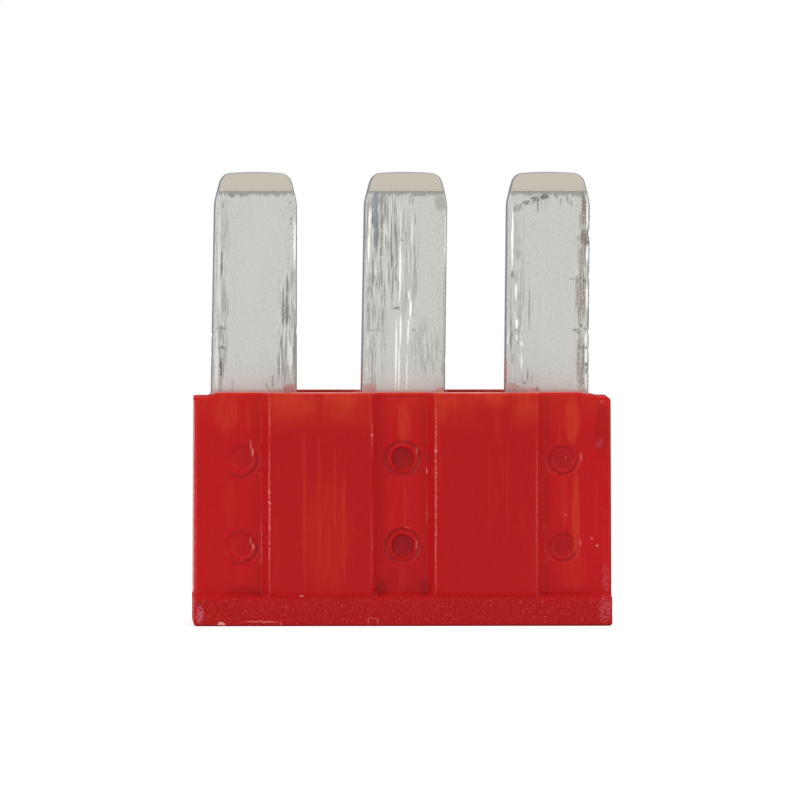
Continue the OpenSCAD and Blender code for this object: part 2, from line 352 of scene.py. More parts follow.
def rounded_half(width, depth, radius, steps=4):
    """The front half of a rounded rectangle about the origin, as X and Y from its left end to its right
    end: two quarter circles of the radius, joined by straight lines."""
    turn = np.linspace(0, pi / 2, steps + 1)
    x = width / 2 - radius + radius * np.sin(turn[::-1])
    y = -(depth / 2 - radius + radius * np.cos(turn[::-1]))
    right = np.stack([x[::-1], y[::-1]], axis=-1)
    left = np.stack([-x, y], axis=-1)
    return np.concatenate([[[-width / 2, 0]], left, right, [[width / 2, 0]]])


def prism(half, centre_x, low, high):
    """The half outline and its mirror, carried straight up from low to high about centre_x."""
    rows = [np.column_stack([half[:, 0] + centre_x, half[:, 1], np.full(len(half), z)]) for z in (low, high)]
    return mirrored_loft(np.stack(rows))


def rod(x, z, diameter, start, end, points=40):
    """A round rod along Y: a circle about x and z, carried from start to end."""
    turn = np.arange(points) * 2 * pi / points
    circle_x = x + diameter / 2 * np.cos(turn)
    circle_z = z + diameter / 2 * np.sin(turn)
    circle = np.stack([circle_x, np.zeros(points), circle_z], axis=-1)
    low, high = sorted((start, end))
    return closed_loft(np.stack([circle + [0, high, 0], circle + [0, low, 0]]))


def stake_places(s):
    """X and Z of the six stakes."""
    columns = (-s.stake_pitch, 0, s.stake_pitch)
    rows = (s.stake_height, s.stake_height + s.stake_rise)
    return [(x, z) for x in columns for z in rows]


def punch_rings(s):
    """Radii of the rings round a stake, and how deep the punch and its dish press each one in."""
    floor, mouth, burr = s.punch_floor / 2, s.punch_width / 2, s.burr
    dish, rim = s.dish_floor / 2, s.dish_width / 2
    wall, slope = mouth - floor, rim - dish
    fall, rise = s.punch_depth - s.dish_depth, s.dish_depth
    rings = [
        (0, 1.0, 1.0),
        (0.35 * floor, 1.0, 1.0),
        (0.7 * floor, 1.0, 1.0),
        (floor - 1.5 * burr, 1.0, 1.0),
        (floor - 0.4 * burr, 0.985, 1.0),
        (floor + 0.05 * wall, 0.94, 1.0),
        (floor + 0.5 * wall, 0.5, 1.0),
        (mouth - 0.05 * wall, 0.07, 1.0),
        (mouth + 0.3 * burr, 0.02, 1.0),
        (mouth + burr, 0.0, 1.0),
        ((mouth + dish) / 2, 0.0, 1.0),
        (dish - burr, 0.0, 1.0),
        (dish + 0.15 * slope, 0.0, 0.88),
        (dish + 0.5 * slope, 0.0, 0.5),
        (rim - 0.15 * slope, 0.0, 0.1),
        (rim, 0.0, 0.0),
        (rim + 0.5 * burr, 0.0, 0.0),
        (rim + burr, 0.0, 0.0),
    ]
    radius, punch, dish_share = np.array(rings).T
    return radius, punch * fall, dish_share * rise


# How deep each column of stakes was driven, as shares of the punch's and the dish's depth, from the left.
DRIVEN = ((0.07, 0.35), (0.22, 0.55), (0.08, 0.5))


def press_stake(x, z, sunk, column, row, rings, driven):
    """Turns the square patch of grid about (column, row) into circles and presses them in.
    Ring k holds the points whose larger distance from the middle, in lines, is k. They go to angle 45
    degrees times the smaller distance over k, on the circle of radius k in the table. The last two rings
    go half and all the way back to squares."""
    radius, punch, dish = rings
    n = len(radius) - 1
    rows = slice(row - n, row + n + 1)
    columns = slice(column - n, column + n + 1)
    up, across = np.meshgrid(np.arange(-n, n + 1), np.arange(-n, n + 1), indexing="ij")
    k = np.maximum(np.abs(up), np.abs(across))
    wide = np.abs(across) >= np.abs(up)
    one = np.where(wide, across, up)
    other = np.where(wide, up, across)
    angle = pi / 4 * other / np.where(one == 0, 1, one)
    along = np.sign(one) * np.cos(angle)
    aside = np.sign(one) * np.sin(angle)
    round_x, round_z = np.where(wide, along, aside), np.where(wide, aside, along)
    square_x, square_z = across / np.maximum(k, 1), up / np.maximum(k, 1)
    square = np.clip(k - (n - 2), 0, 2) / 2
    middle_x, middle_z = x[row, column], z[row, column]
    x[rows, columns] = middle_x + radius[k] * (round_x + (square_x - round_x) * square)
    z[rows, columns] = middle_z + radius[k] * (round_z + (square_z - round_z) * square)
    sunk[rows, columns] = driven[0] * punch[k] + driven[1] * dish[k]


# Half width of the ease at each corner of a flank, as a share of the flank's width.
FLANK_EASE = 0.13


def body_depth(s, x, z):
    """Distance of the body's front face from its middle plane: bays, and panels that rise from them over an
    eased flank, less the draft."""
    middle = (s.bay_width + s.panel_width) / 2
    inside = (s.panel_width / 2 + s.flank - np.abs(np.abs(x) - middle)) / s.flank
    raised = eased_ramp(inside, FLANK_EASE) * (s.panel_thickness - s.bay_thickness) / 2
    start = s.head_height + s.foot_height
    lean = s.draft * np.clip((z - start) / (s.height - start), 0, 1)
    return s.bay_thickness / 2 + raised - lean


def mouth_height(s, x, half_width):
    """Height of the mouth's rim: level, with a straight slope down to each dropped end and a quarter circle
    at the corner. The right end, worn more, slopes longer, runs on beyond the slot and is rounder."""
    slot_end = s.slot_length / 2
    slope = np.where(x < 0, s.left_slope, s.right_slope)
    run = np.where(x < 0, 0, s.right_run)
    corner = np.where(x < 0, s.left_corner, s.right_corner)
    drop = s.end_drop * np.clip((np.abs(x) - (slot_end - slope)) / (slope + run), 0, 1)
    into = np.clip(np.abs(x) - (half_width - corner), 0, corner)
    return s.height - drop - (corner - np.sqrt(corner**2 - into**2))


# Radius of the foot, where a bay runs out into the head, as a share of the step between them.
FOOT_SHARE = 0.4


def housing_skin(s):
    """The housing's outside as rings from the head's face to the mouth. Each ring is a half outline: the
    front face, whose depth is body_depth or the head's, a quarter circle at the corner and half of the
    end. The rings are rounded in height by a quarter circle each at the head's face, at its upper edge, at
    the foot of the bays and at the mouth."""
    rings = punch_rings(s)
    n = len(rings[0]) - 1
    patch = rings[0][-1]
    bay, edge = s.bay_width / 2, s.panel_width + s.bay_width / 2
    soft = s.flank * 0.2
    last = s.head_width / 2 - s.corner_radius
    right = stops(
        0, n, patch, 2,
        bay - s.flank - soft, 12, bay + soft, 14, edge - soft, 10,
        s.stake_pitch - patch, 2 * n, s.stake_pitch + patch, 16, last,
    )
    columns = np.concatenate([-right[:0:-1], right])
    stake_low, stake_high = s.stake_height, s.stake_height + s.stake_rise
    body_rows = stops(
        s.head_height + 1.3 * s.foot_height, 8,
        stake_low - patch, 2 * n, stake_low + patch, 12,
        stake_high - patch, 2 * n, stake_high + patch, 14, s.height - s.mouth_radius,
    )
    x, z = np.meshgrid(columns, body_rows)
    sunk = np.zeros_like(x)
    for place_x, place_z in stake_places(s):
        column = int(np.argmin(np.abs(columns - place_x)))
        row = int(np.argmin(np.abs(body_rows - place_z)))
        driven = DRIVEN[round(place_x / s.stake_pitch) + 1]
        press_stake(x, z, sunk, column, row, rings, driven)
    depth = body_depth(s, x, z) - sunk

    head_depth, head_half = s.head_thickness / 2, s.head_width / 2
    body_half = head_half - s.end_step
    foot_depth = body_depth(s, columns, np.full_like(columns, s.head_height))
    foot_round = FOOT_SHARE * (head_depth - foot_depth)
    flat = np.zeros_like(columns)

    def row_of(height, face, half_width, corner):
        return columns, height + flat, face + flat, half_width, corner

    lines = []
    for turn in np.linspace(0, pi / 2, 7):
        inset = s.base_radius * (1 - sin(turn))
        corner = max(s.corner_radius - inset, 0.2 * s.corner_radius)
        lines.append(row_of(s.base_radius * (1 - cos(turn)), head_depth - inset, head_half - inset, corner))
    for height in np.linspace(s.base_radius, s.head_height - s.ledge_radius, 8)[1:]:
        lines.append(row_of(height, head_depth, head_half, s.corner_radius))
    for turn in np.linspace(0, pi / 2, 4)[1:]:
        inset = s.ledge_radius * (1 - cos(turn))
        height = s.head_height - s.ledge_radius * (1 - sin(turn))
        lines.append(row_of(height, head_depth - inset, head_half - inset, s.corner_radius))
    for t in (0.35, 0.7):
        start = head_depth - s.ledge_radius
        face = start + (foot_depth + foot_round - start) * t
        lines.append(row_of(s.head_height, face, body_half, s.corner_radius))
    for turn in np.linspace(0, pi / 2, 8):
        face = foot_depth + foot_round * (1 - sin(turn))
        lines.append(row_of(s.head_height + foot_round * (1 - cos(turn)), face, body_half, s.corner_radius))
    leaning = s.draft / (s.height - s.head_height)
    for i, height in enumerate(body_rows):
        half_width = body_half - leaning * (height - s.head_height)
        lines.append((x[i], z[i], depth[i], half_width, s.corner_radius))
    half_width = body_half - s.draft
    for turn in np.linspace(0, pi / 2, 6)[1:]:
        face = depth[-1] - s.mouth_radius * (1 - cos(turn))
        height = s.height - s.mouth_radius * (1 - sin(turn))
        lines.append((x[-1], height + flat, face, half_width, s.corner_radius))
    return mirrored_loft(np.stack([housing_ring(s, *line, free=s.stake_pitch + patch) for line in lines]))


# Y of the points between an upright corner and the middle of an end, as shares of the corner's.
END_POINTS = np.array([0.66, 0.33, 0])
# Share of its height in the foot by which the middle of an end sinks towards the head.
END_SINK = 0.9


def housing_ring(s, x, z, depth, half_width, corner, free):
    """One half ring of the housing. Beyond the stakes, where the columns are free, they spread to meet the
    corner. Above the upper stakes the heights shrink to the rim. At the foot of the bays the end's points
    sink towards the head, so that the end meets it squarely."""
    last = np.abs(x).max()
    scale = (half_width - corner - free) / (last - free)
    x = np.where(np.abs(x) > free, np.sign(x) * (free + (np.abs(x) - free) * scale), x)
    turn = np.linspace(0, pi / 2, 6)[1:]
    corner_x = half_width - corner + corner * np.sin(turn)
    corner_y = depth[-1] - corner + corner * np.cos(turn)
    end_y = corner_y[-1] * END_POINTS
    side_x = np.concatenate([corner_x, np.full(len(end_y), half_width)])
    side_y = np.concatenate([corner_y, end_y])
    in_foot = (z[-1] > s.head_height) & (z[-1] < s.head_height + 1.1 * s.foot_height)
    side_z = np.full(len(side_x), z[-1])
    if in_foot:
        side_z -= (z[-1] - s.head_height) * np.linspace(0.2, 1, len(side_x)) * END_SINK
    all_x = np.concatenate([-side_x[::-1], x, side_x])
    all_y = np.concatenate([side_y[::-1], depth, side_y])
    all_z = np.concatenate([side_z[::-1], z, side_z])
    start = s.stake_height + s.stake_rise + s.dish_width
    share_up = np.clip((all_z - start) / (s.height - start), 0, 1)
    all_z = all_z - (s.height - mouth_height(s, all_x, half_width)) * share_up
    return np.stack([all_x, -all_y, all_z], axis=-1)


def slot_skin(s):
    """The slot's hollow: a flat box that widens by the lead-in at the mouth."""
    over = 4 * s.lead_in
    half = np.array([[-0.5, 0], [-0.5, -0.5], [0.5, -0.5], [0.5, 0]])
    rows = []
    for height, wide in (
        (s.floor_thickness, 0),
        (s.height - s.lead_in, 0),
        (s.height + over, s.lead_in + over),
    ):
        outline = half * [s.slot_length, s.slot_thickness + 2 * wide]
        rows.append(np.column_stack([outline, np.full(len(outline), height)]))
    return mirrored_loft(np.stack(rows))


class FUSE_OT_housing(bpy.types.Operator):
    """Builds the moulded housing: head, bays, panels, staking marks, slot, chambers, windows and pegs"""

    bl_idname = "fuse.housing"
    bl_label = "Moulded Housing"

    def execute(self, context):
        s = context.scene.fuse_housing
        panel_middle = (s.bay_width + s.panel_width) / 2
        chamber = rounded_half(s.chamber_width, s.chamber_width, s.chamber_radius)
        window = rounded_half(s.window_width, s.window_thickness, s.window_radius)
        over = s.floor_thickness / 4
        chambers = [
            prism(chamber, side * panel_middle, s.floor_thickness, 1.5 * s.height) for side in (-1, 1)
        ]
        windows = [
            prism(window, x, -over, s.floor_thickness + over) for x in (-s.stake_pitch, 0, s.stake_pitch)
        ]
        wall = s.slot_thickness / 2
        pegs = [
            rod(x, z, s.peg_width, side * (wall + over), side * (wall - s.peg_length))
            for x, z in stake_places(s)
            for side in (-1, 1)
        ]
        housing = new_object("housing_blank", housing_skin(s))
        steps = [
            ("DIFFERENCE", slot_skin(s)),
            ("DIFFERENCE", joined(chambers)),
            ("DIFFERENCE", joined(windows)),
            ("UNION", joined(pegs)),
        ]
        cut_and_join(housing, steps)
        material = red_plastic(context.scene)
        finish_piece(housing, HOUSING, "housing", material, HOUSING_CREASE)
        return {"FINISHED"}


# A blade's nicks: its number from the left, the side, height, depth and half height, in millimetres.
NICKS = (
    (0, -1, 9.95, 0.025, 0.08),
    (0, -1, 9.3, 0.02, 0.05),
    (0, 1, 10.1, 0.02, 0.12),
    (1, 1, 9.1, 0.02, 0.1),
    (2, 1, 13.45, 0.05, 0.14),
    (2, 1, 12.0, 0.03, 0.1),
    (2, 1, 10.05, 0.035, 0.08),
    (2, 1, 9.45, 0.03, 0.06),
    (2, 1, 8.7, 0.02, 0.05),
)


# How the blades stand in use, from the left, in millimetres: how far over at the mouth and at the tip, and
# what is added to the half width at the mouth and at the tip.
BENT = ((-0.095, -0.025, 0.03, -0.03), (0.04, 0.15, 0.0, -0.02), (-0.015, 0.05, 0.0, -0.01))

# Half width of the ease at each corner of a shoulder and of a taper, as shares of their heights.
SHOULDER_EASE = 0.1
TAPER_EASE = 0.2
# How much of the blades' edge radius a terminal has.
TERMINAL_ROLL = 0.15
# Share of the half width beyond which a nick pulls the side in.
NICK_REACH = 0.75
# Chamfer along a link's edges, as a share of its thickness.
LINK_CHAMFER = 0.15


def bent(e, s, side, z):
    """How far over a blade stands at a height, and what is added to its half width: the numbers at the
    mouth and at the tip, and evenly between them."""
    up = np.clip((z - s.height) / (e.tip - s.height), 0, 1)
    over, over_tip, wide, wide_tip = np.array(BENT)[np.asarray(side, int) + 1].T * MM
    return over + (over_tip - over) * up, wide + (wide_tip - wide) * up


def shoulder(e, z):
    """0 at a terminal, 1 at its blade, and an eased ramp over the shoulder between them."""
    return eased_ramp((z - e.shoulder_low) / (e.shoulder_high - e.shoulder_low), SHOULDER_EASE)


def blade_half_width(e, s, side, z):
    """Half the width at a height: the terminal's, eased out to the blade's over the shoulder, drawn in
    over the taper, and rounded at the tip's corner by a quarter circle."""
    widening = shoulder(e, z)
    drawing_in = eased_ramp((z - (e.tip - e.taper_height)) / e.taper_height, TAPER_EASE)
    into = np.clip(z - (e.tip - e.tip_crown - e.tip_corner), 0, e.tip_corner)
    rounding = e.tip_corner - np.sqrt(e.tip_corner**2 - into**2)
    wide = e.terminal_width / 2 + (e.blade_width - e.terminal_width) / 2 * widening
    return wide + bent(e, s, side, z)[1] * widening - e.taper_width * drawing_in - rounding


def blade_middle(e, s, side, z):
    """X of a terminal's middle, which goes over to the blade's across the shoulder."""
    widening = shoulder(e, z)
    apart = s.stake_pitch + (e.blade_pitch - s.stake_pitch) * widening
    return side * apart + bent(e, s, side, z)[0] * widening


def blade_skin(e, s, number):
    """One terminal and its blade as half rings from the foot to the tip: a rounded rectangle whose width
    follows the shoulder, the taper and the tip's corner, whose thickness follows the bevel, and whose last
    rings rise in the middle to the crown. A nick pulls its side in by a bell curve of the height."""
    side = number - 1
    tip_low = e.tip - e.tip_crown
    corner_start = tip_low - e.tip_corner
    heights = stops(
        e.foot, 3, e.shoulder_low - 2 * e.edge_radius, 3, e.shoulder_low, 4, e.shoulder_high, 3,
        e.shoulder_high + 2 * e.edge_radius, 120, e.tip - 1.2 * e.taper_height, 16, corner_start,
    )
    turn = np.linspace(0, pi / 2, 9)[1:]
    heights = np.concatenate([heights, corner_start + e.tip_corner * np.sin(turn)])
    crowning = np.concatenate([np.zeros(len(heights) - len(turn)), np.sin(turn) ** 2])
    half_width = blade_half_width(e, s, side, heights)
    middle = blade_middle(e, s, side, heights)
    rolled = smooth_step(e.shoulder_low, e.shoulder_high, heights)
    rolled = e.edge_radius * np.clip(rolled, TERMINAL_ROLL, 1)
    across = np.linspace(-1, 1, 17)
    steps = np.linspace(0, pi / 2, 9)
    rows = []
    for i, height in enumerate(heights):
        w, r = half_width[i], rolled[i]
        flat_x = (w - r) * across[1:-1]
        corner_x = w - r + r * np.sin(steps)
        corner_y = e.thickness / 2 - r + r * np.cos(steps)
        x = np.concatenate([[-w], -corner_x[::-1], flat_x, corner_x, [w]])
        y = np.concatenate([[0], corner_y[::-1], np.full(len(flat_x), e.thickness / 2), corner_y, [0]])
        z = height + e.tip_crown * crowning[i] * (1 - (x / w) ** 2)
        thin = np.clip((z - (e.tip - e.bevel_height)) / e.bevel_height, 0, 1)
        y = y * (1 - thin * e.bevel_depth / (e.thickness / 2))
        for blade, nick_side, nick_height, depth, spread in NICKS:
            if blade == number:
                pull = depth * MM * np.exp(-(((z - nick_height * MM) / (spread * MM)) ** 2))
                x = x - nick_side * pull * smooth_step(NICK_REACH, 1.0, nick_side * x / w)
        rows.append(np.stack([x + middle[i], -y, z], axis=-1))
    return mirrored_loft(np.stack(rows))


def link_skin(e, centre_x, reach):
    """A fuse link: a flat ribbon carried along a U. Its half width is the link's, less two round notches
    of the notch radius that leave the neck at the bottom of the bend."""
    r, elbow = e.bend_radius, e.elbow_radius
    bend_z, elbow_z = e.neck_height + r, e.link_height - elbow
    outer = r + elbow
    down = np.linspace(pi / 2, 0, 9)
    round_bend = np.linspace(pi, 1.5 * pi, 25)
    left = np.concatenate(
        [
            np.stack([np.linspace(-reach, -outer, 3)[:-1], np.full(2, e.link_height)], axis=-1),
            np.stack([-outer + elbow * np.cos(down), elbow_z + elbow * np.sin(down)], axis=-1),
            np.stack([np.full(5, -r), np.linspace(elbow_z, bend_z, 7)[1:-1]], axis=-1),
            np.stack([r * np.cos(round_bend), bend_z + r * np.sin(round_bend)], axis=-1),
        ]
    )
    path = np.concatenate([left, left[-2::-1] * [-1, 1]])
    travel = np.gradient(path, axis=0)
    travel /= np.linalg.norm(travel, axis=1)[:, None]
    normal = np.stack([-travel[:, 1], travel[:, 0]], axis=-1)
    strides = np.linalg.norm(np.diff(path, axis=0), axis=1)
    along = np.concatenate([[0], np.cumsum(strides)])
    from_neck = np.minimum(np.abs(along - along[-1] / 2), e.notch_radius)
    notched = e.neck_width / 2 + e.notch_radius - np.sqrt(e.notch_radius**2 - from_neck**2)
    half_width = np.minimum(notched, e.link_width / 2)
    soft = LINK_CHAMFER * e.link_thickness
    t = e.link_thickness / 2
    rings = []
    for place, aside, w in zip(path, normal, half_width):
        offsets = np.array([w, w - soft, soft - w, -w, -w, soft - w, w - soft, w])
        y = np.array([soft - t, -t, -t, soft - t, t - soft, t, t, t - soft])
        points = place + offsets[:, None] * aside
        rings.append(np.stack([points[:, 0] + centre_x, y, points[:, 1]], axis=-1))
    return closed_loft(np.stack(rings)[::-1])


def measure_blades(piece, e, s):
    """Stores the two numbers that the finish follows at each point, in millimetres. "across" is the place
    across the blades with their tips drawn straight: the nominal middle plus the share of the half width
    times the full half width. "inset" is the smaller of the distances to the blade's side and to its
    crowned top."""
    place = np.empty(3 * len(piece.data.vertices))
    piece.data.vertices.foreach_get("co", place)
    x, _, z = place.reshape(-1, 3).T
    side = np.clip(np.round(x / e.blade_pitch), -1, 1)
    half = np.maximum(blade_half_width(e, s, side, z), e.edge_radius)
    off = x - blade_middle(e, s, side, z)
    share_out = np.clip(off / half, -1, 1)
    across = side * e.blade_pitch + share_out * e.blade_width / 2
    top = e.tip - e.tip_crown * share_out**2
    inset = np.minimum(half - np.abs(off), top - z)
    for name, values in (("across", across), ("inset", inset)):
        stored = piece.data.attributes.new(name, "FLOAT", "POINT")
        stored.data.foreach_set("value", values / MM)


class FUSE_OT_element(bpy.types.Operator):
    """Builds the stamped element: terminals, rolled blades with coined tips, and the notched links"""

    bl_idname = "fuse.element"
    bl_label = "Stamped Element"

    def execute(self, context):
        e = context.scene.fuse_element
        s = context.scene.fuse_housing
        reach = (s.stake_pitch - e.terminal_width) / 2 + e.link_lap
        links = [link_skin(e, side * s.stake_pitch / 2, reach) for side in (-1, 1)]
        holes = [rod(x, z, e.hole, -e.thickness, e.thickness) for x, z in stake_places(s)]
        element = new_object("element_blank", joined([blade_skin(e, s, number) for number in range(3)]))
        cut_and_join(element, [("UNION", joined(links)), ("DIFFERENCE", joined(holes))])
        measure_blades(element, e, s)
        material = plated_zinc(context.scene)
        finish_piece(element, ELEMENT, "fuse_element", material, ELEMENT_CREASE)
        return {"FINISHED"}


class Shader:
    """A material's node tree, with short calls for the nodes that patterns are made of."""

    def __init__(self, name):
        self.material = bpy.data.materials.new(name)
        self.material.use_nodes = True
        self.tree = self.material.node_tree
        self.tree.nodes.clear()
        self.output = self.node("ShaderNodeOutputMaterial")
        place = self.node("ShaderNodeTexCoord").outputs["Object"]
        scaled = self.node("ShaderNodeVectorMath", operation="SCALE")
        self.feed(scaled.inputs[0], place)
        scaled.inputs["Scale"].default_value = 1 / MM
        self.place = scaled.outputs[0]
        split = self.node("ShaderNodeSeparateXYZ")
        self.feed(split.inputs[0], self.place)
        self.x, self.y, self.z = split.outputs

    def node(self, kind, **settings):
        made = self.tree.nodes.new(kind)
        for key, value in settings.items():
            setattr(made, key, value)
        return made

    def feed(self, socket, value):
        """Links value to the socket if it is an output, and sets it there if it is a number or a colour."""
        if isinstance(value, bpy.types.NodeSocket):
            self.tree.links.new(value, socket)
        else:
            socket.default_value = value

    def attribute(self, name):
        """A number that the mesh holds at each of its points."""
        return self.node("ShaderNodeAttribute", attribute_name=name).outputs["Fac"]

    def math(self, operation, *values, clamp=False):
        made = self.node("ShaderNodeMath", operation=operation, use_clamp=clamp)
        for socket, value in zip(made.inputs, values):
            self.feed(socket, value)
        return made.outputs[0]

    def times(self, *values):
        product = values[0]
        for value in values[1:]:
            product = self.math("MULTIPLY", product, value)
        return product

    def most(self, *values):
        """The largest of the values."""
        largest = values[0]
        for value in values[1:]:
            largest = self.math("MAXIMUM", largest, value)
        return largest

    def ramp(self, value, low, high, start=0.0, end=1.0):
        """start below low, end above high, with an eased change between them."""
        made = self.node("ShaderNodeMapRange", interpolation_type="SMOOTHSTEP")
        if low > high:
            low, high, start, end = high, low, end, start
        ends = {"Value": value, "From Min": low, "From Max": high, "To Min": start, "To Max": end}
        for key, number in ends.items():
            self.feed(made.inputs[key], number)
        return made.outputs["Result"]

    def band(self, value, low, high, soft):
        """1 between low and high, and 0 past them, with soft edges."""
        away = self.math("ABSOLUTE", self.math("SUBTRACT", value, (low + high) / 2))
        half = (high - low) / 2
        return self.ramp(away, half + soft / 2, half - soft / 2)

    def noise(self, scale, stretch=(1, 1, 1), shift=(0, 0, 0), detail=3.0, roughness=0.6, output="Fac"):
        """Noise whose grains are 1/scale millimetres, drawn out by the stretch along X, Y and Z, and moved
        by the shift to a place of its own."""
        mapping = self.node("ShaderNodeMapping")
        self.feed(mapping.inputs["Vector"], self.place)
        mapping.inputs["Location"].default_value = shift
        mapping.inputs["Scale"].default_value = [scale / amount for amount in stretch]
        made = self.node("ShaderNodeTexNoise")
        self.feed(made.inputs["Vector"], mapping.outputs[0])
        made.inputs["Scale"].default_value = 1.0
        made.inputs["Detail"].default_value = detail
        made.inputs["Roughness"].default_value = roughness
        return made.outputs[output]

    def wandering(self, across, reach):
        """A place made of across and Z, moved about by noise by up to the reach, so that what is drawn on
        it comes out uneven. Along Z it moves three times as far."""
        sway = self.noise(6, stretch=(1, 1, 2), shift=(3, 9, 2), detail=3, output="Color")
        centred = self.node("ShaderNodeVectorMath", operation="SUBTRACT")
        self.feed(centred.inputs[0], sway)
        centred.inputs[1].default_value = (0.5, 0.5, 0.5)
        combined = self.node("ShaderNodeCombineXYZ")
        self.feed(combined.inputs["X"], across)
        self.feed(combined.inputs["Z"], self.z)
        moved = self.node("ShaderNodeVectorMath", operation="MULTIPLY_ADD")
        self.feed(moved.inputs[0], centred.outputs[0])
        moved.inputs[1].default_value = (2 * reach, 0, 6 * reach)
        self.feed(moved.inputs[2], combined.outputs[0])
        return moved.outputs[0]

    def strokes(self, where, rows):
        """Tapered strokes. A row is X, lowest and highest Z and width in millimetres, and strength. A
        stroke is an ellipse that fades towards its edge, and where two meet the stronger shows."""
        total = 0.0
        for x, low, high, width, strength in rows:
            placed = self.node("ShaderNodeVectorMath", operation="MULTIPLY_ADD")
            self.feed(placed.inputs[0], where)
            placed.inputs[1].default_value = (2 / width, 0, 2 / (high - low))
            placed.inputs[2].default_value = (-2 * x / width, 0, -(high + low) / (high - low))
            away = self.node("ShaderNodeVectorMath", operation="LENGTH")
            self.feed(away.inputs[0], placed.outputs[0])
            inside = self.ramp(away.outputs["Value"], 1.2, 0.6, end=strength)
            total = self.math("MAXIMUM", inside, total)
        return total

    def arcs(self, where, rows):
        """Soft arcs. A row is the middle's X and Z, radius and width in millimetres, the direction in
        degrees in which the arc is strongest, and strength."""
        total = 0.0
        for x, z, radius, width, direction, strength in rows:
            placed = self.node("ShaderNodeVectorMath", operation="SUBTRACT")
            self.feed(placed.inputs[0], where)
            placed.inputs[1].default_value = (x, 0, z)
            away = self.node("ShaderNodeVectorMath", operation="LENGTH")
            self.feed(away.inputs[0], placed.outputs[0])
            facing = self.node("ShaderNodeVectorMath", operation="DOT_PRODUCT")
            self.feed(facing.inputs[0], placed.outputs[0])
            facing.inputs[1].default_value = (cos(radians(direction)), 0, sin(radians(direction)))
            ring = self.band(away.outputs["Value"], radius - width / 4, radius + width / 4, width / 2)
            arc = self.ramp(facing.outputs["Value"], -0.3 * radius, 0.8 * radius, end=strength)
            total = self.math("MAXIMUM", self.math("MULTIPLY", ring, arc), total)
        return total

    def mix(self, amount, under, over):
        """The colour under, covered by the colour over in the given amount."""
        made = self.node("ShaderNodeMix", data_type="RGBA", clamp_factor=True)
        sockets = [i for i in made.inputs if i.enabled]
        for socket, value in zip(sockets, (amount, under, over)):
            self.feed(socket, value)
        return [o for o in made.outputs if o.enabled][0]

    def bump(self, height, distance, strength=1.0, under=None):
        made = self.node("ShaderNodeBump")
        made.inputs["Strength"].default_value = strength
        made.inputs["Distance"].default_value = distance * MM
        self.feed(made.inputs["Height"], height)
        if under is not None:
            self.feed(made.inputs["Normal"], under)
        return made.outputs[0]

    def principled(self, **inputs):
        made = self.node("ShaderNodeBsdfPrincipled")
        for key, value in inputs.items():
            self.feed(made.inputs[key.replace("_", " ")], value)
        self.feed(self.output.inputs["Surface"], made.outputs[0])
        return self.material


def rgba(colour):
    """A colour property with its alpha, as a colour socket takes it."""
    return (*colour, 1.0)


# Strokes on the housing's front. A row is X, lowest and highest Z and width in millimetres, and strength.
# Orange streaks, where light comes through the plastic.
GLOWING = (
    (-6.07, 6.6, 8.1, 1.05, 0.5),
    (-5.95, 3.3, 5.0, 0.5, 0.2),
    (-5.3, 6.5, 7.9, 0.3, 0.3),
    (-4.3, 6.6, 7.9, 0.5, 0.3),
    (-2.6, 0.9, 5.4, 1.7, 0.28),
    (-2.4, 2.6, 3.4, 0.8, 0.3),
    (-3.39, 1.3, 6.8, 0.16, 0.42),
    (-2.89, 1.5, 6.7, 0.12, 0.4),
    (-2.83, 1.5, 4.4, 0.09, 0.45),
    (-2.58, 1.3, 4.1, 0.1, 0.45),
    (-2.35, 1.3, 6.5, 0.1, 0.42),
    (-2.03, 1.3, 5.3, 0.12, 0.6),
    (0.03, 6.2, 7.9, 0.5, 0.7),
    (0.27, 6.3, 7.3, 0.1, 0.5),
    (0.07, 3.3, 5.0, 0.2, 0.35),
    (0.02, 1.2, 2.2, 0.3, 0.3),
    (2.98, 2.6, 6.6, 0.07, 0.25),
    (3.25, 6.3, 7.9, 0.2, 0.35),
    (3.58, 3.0, 6.5, 0.07, 0.3),
    (5.82, 6.2, 8.0, 0.6, 0.8),
    (5.4, 6.1, 7.0, 0.12, 0.4),
    (5.95, 2.2, 5.4, 0.3, 0.85),
    (5.55, 3.2, 5.2, 0.25, 0.4),
    (5.9, 1.1, 2.6, 0.9, 0.3),
    (6.65, 3.0, 5.2, 0.1, 0.35),
)
# Dotted pale lines along the edges of the panels: painted highlights where the edges catch the key lamp,
# brightest on those that face it and broken into dots like rubbed edges; and rubbed spots.
RUBBED_EDGES_AND_HIGHLIGHTS = (
    (-4.6, 1.15, 6.6, 0.07, 0.42),
    (-4.6, 6.2, 8.0, 0.05, 0.3),
    (-4.86, 2.1, 3.6, 0.05, 0.3),
    (-1.07, 1.3, 4.4, 0.05, 0.25),
    (-1.07, 5.7, 7.3, 0.05, 0.35),
    (0.83, 3.5, 4.2, 0.05, 0.25),
    (0.83, 5.2, 5.4, 0.07, 0.5),
    (1.12, 1.1, 8.0, 0.07, 0.5),
    (4.6, 1.1, 6.6, 0.07, 0.24),
)
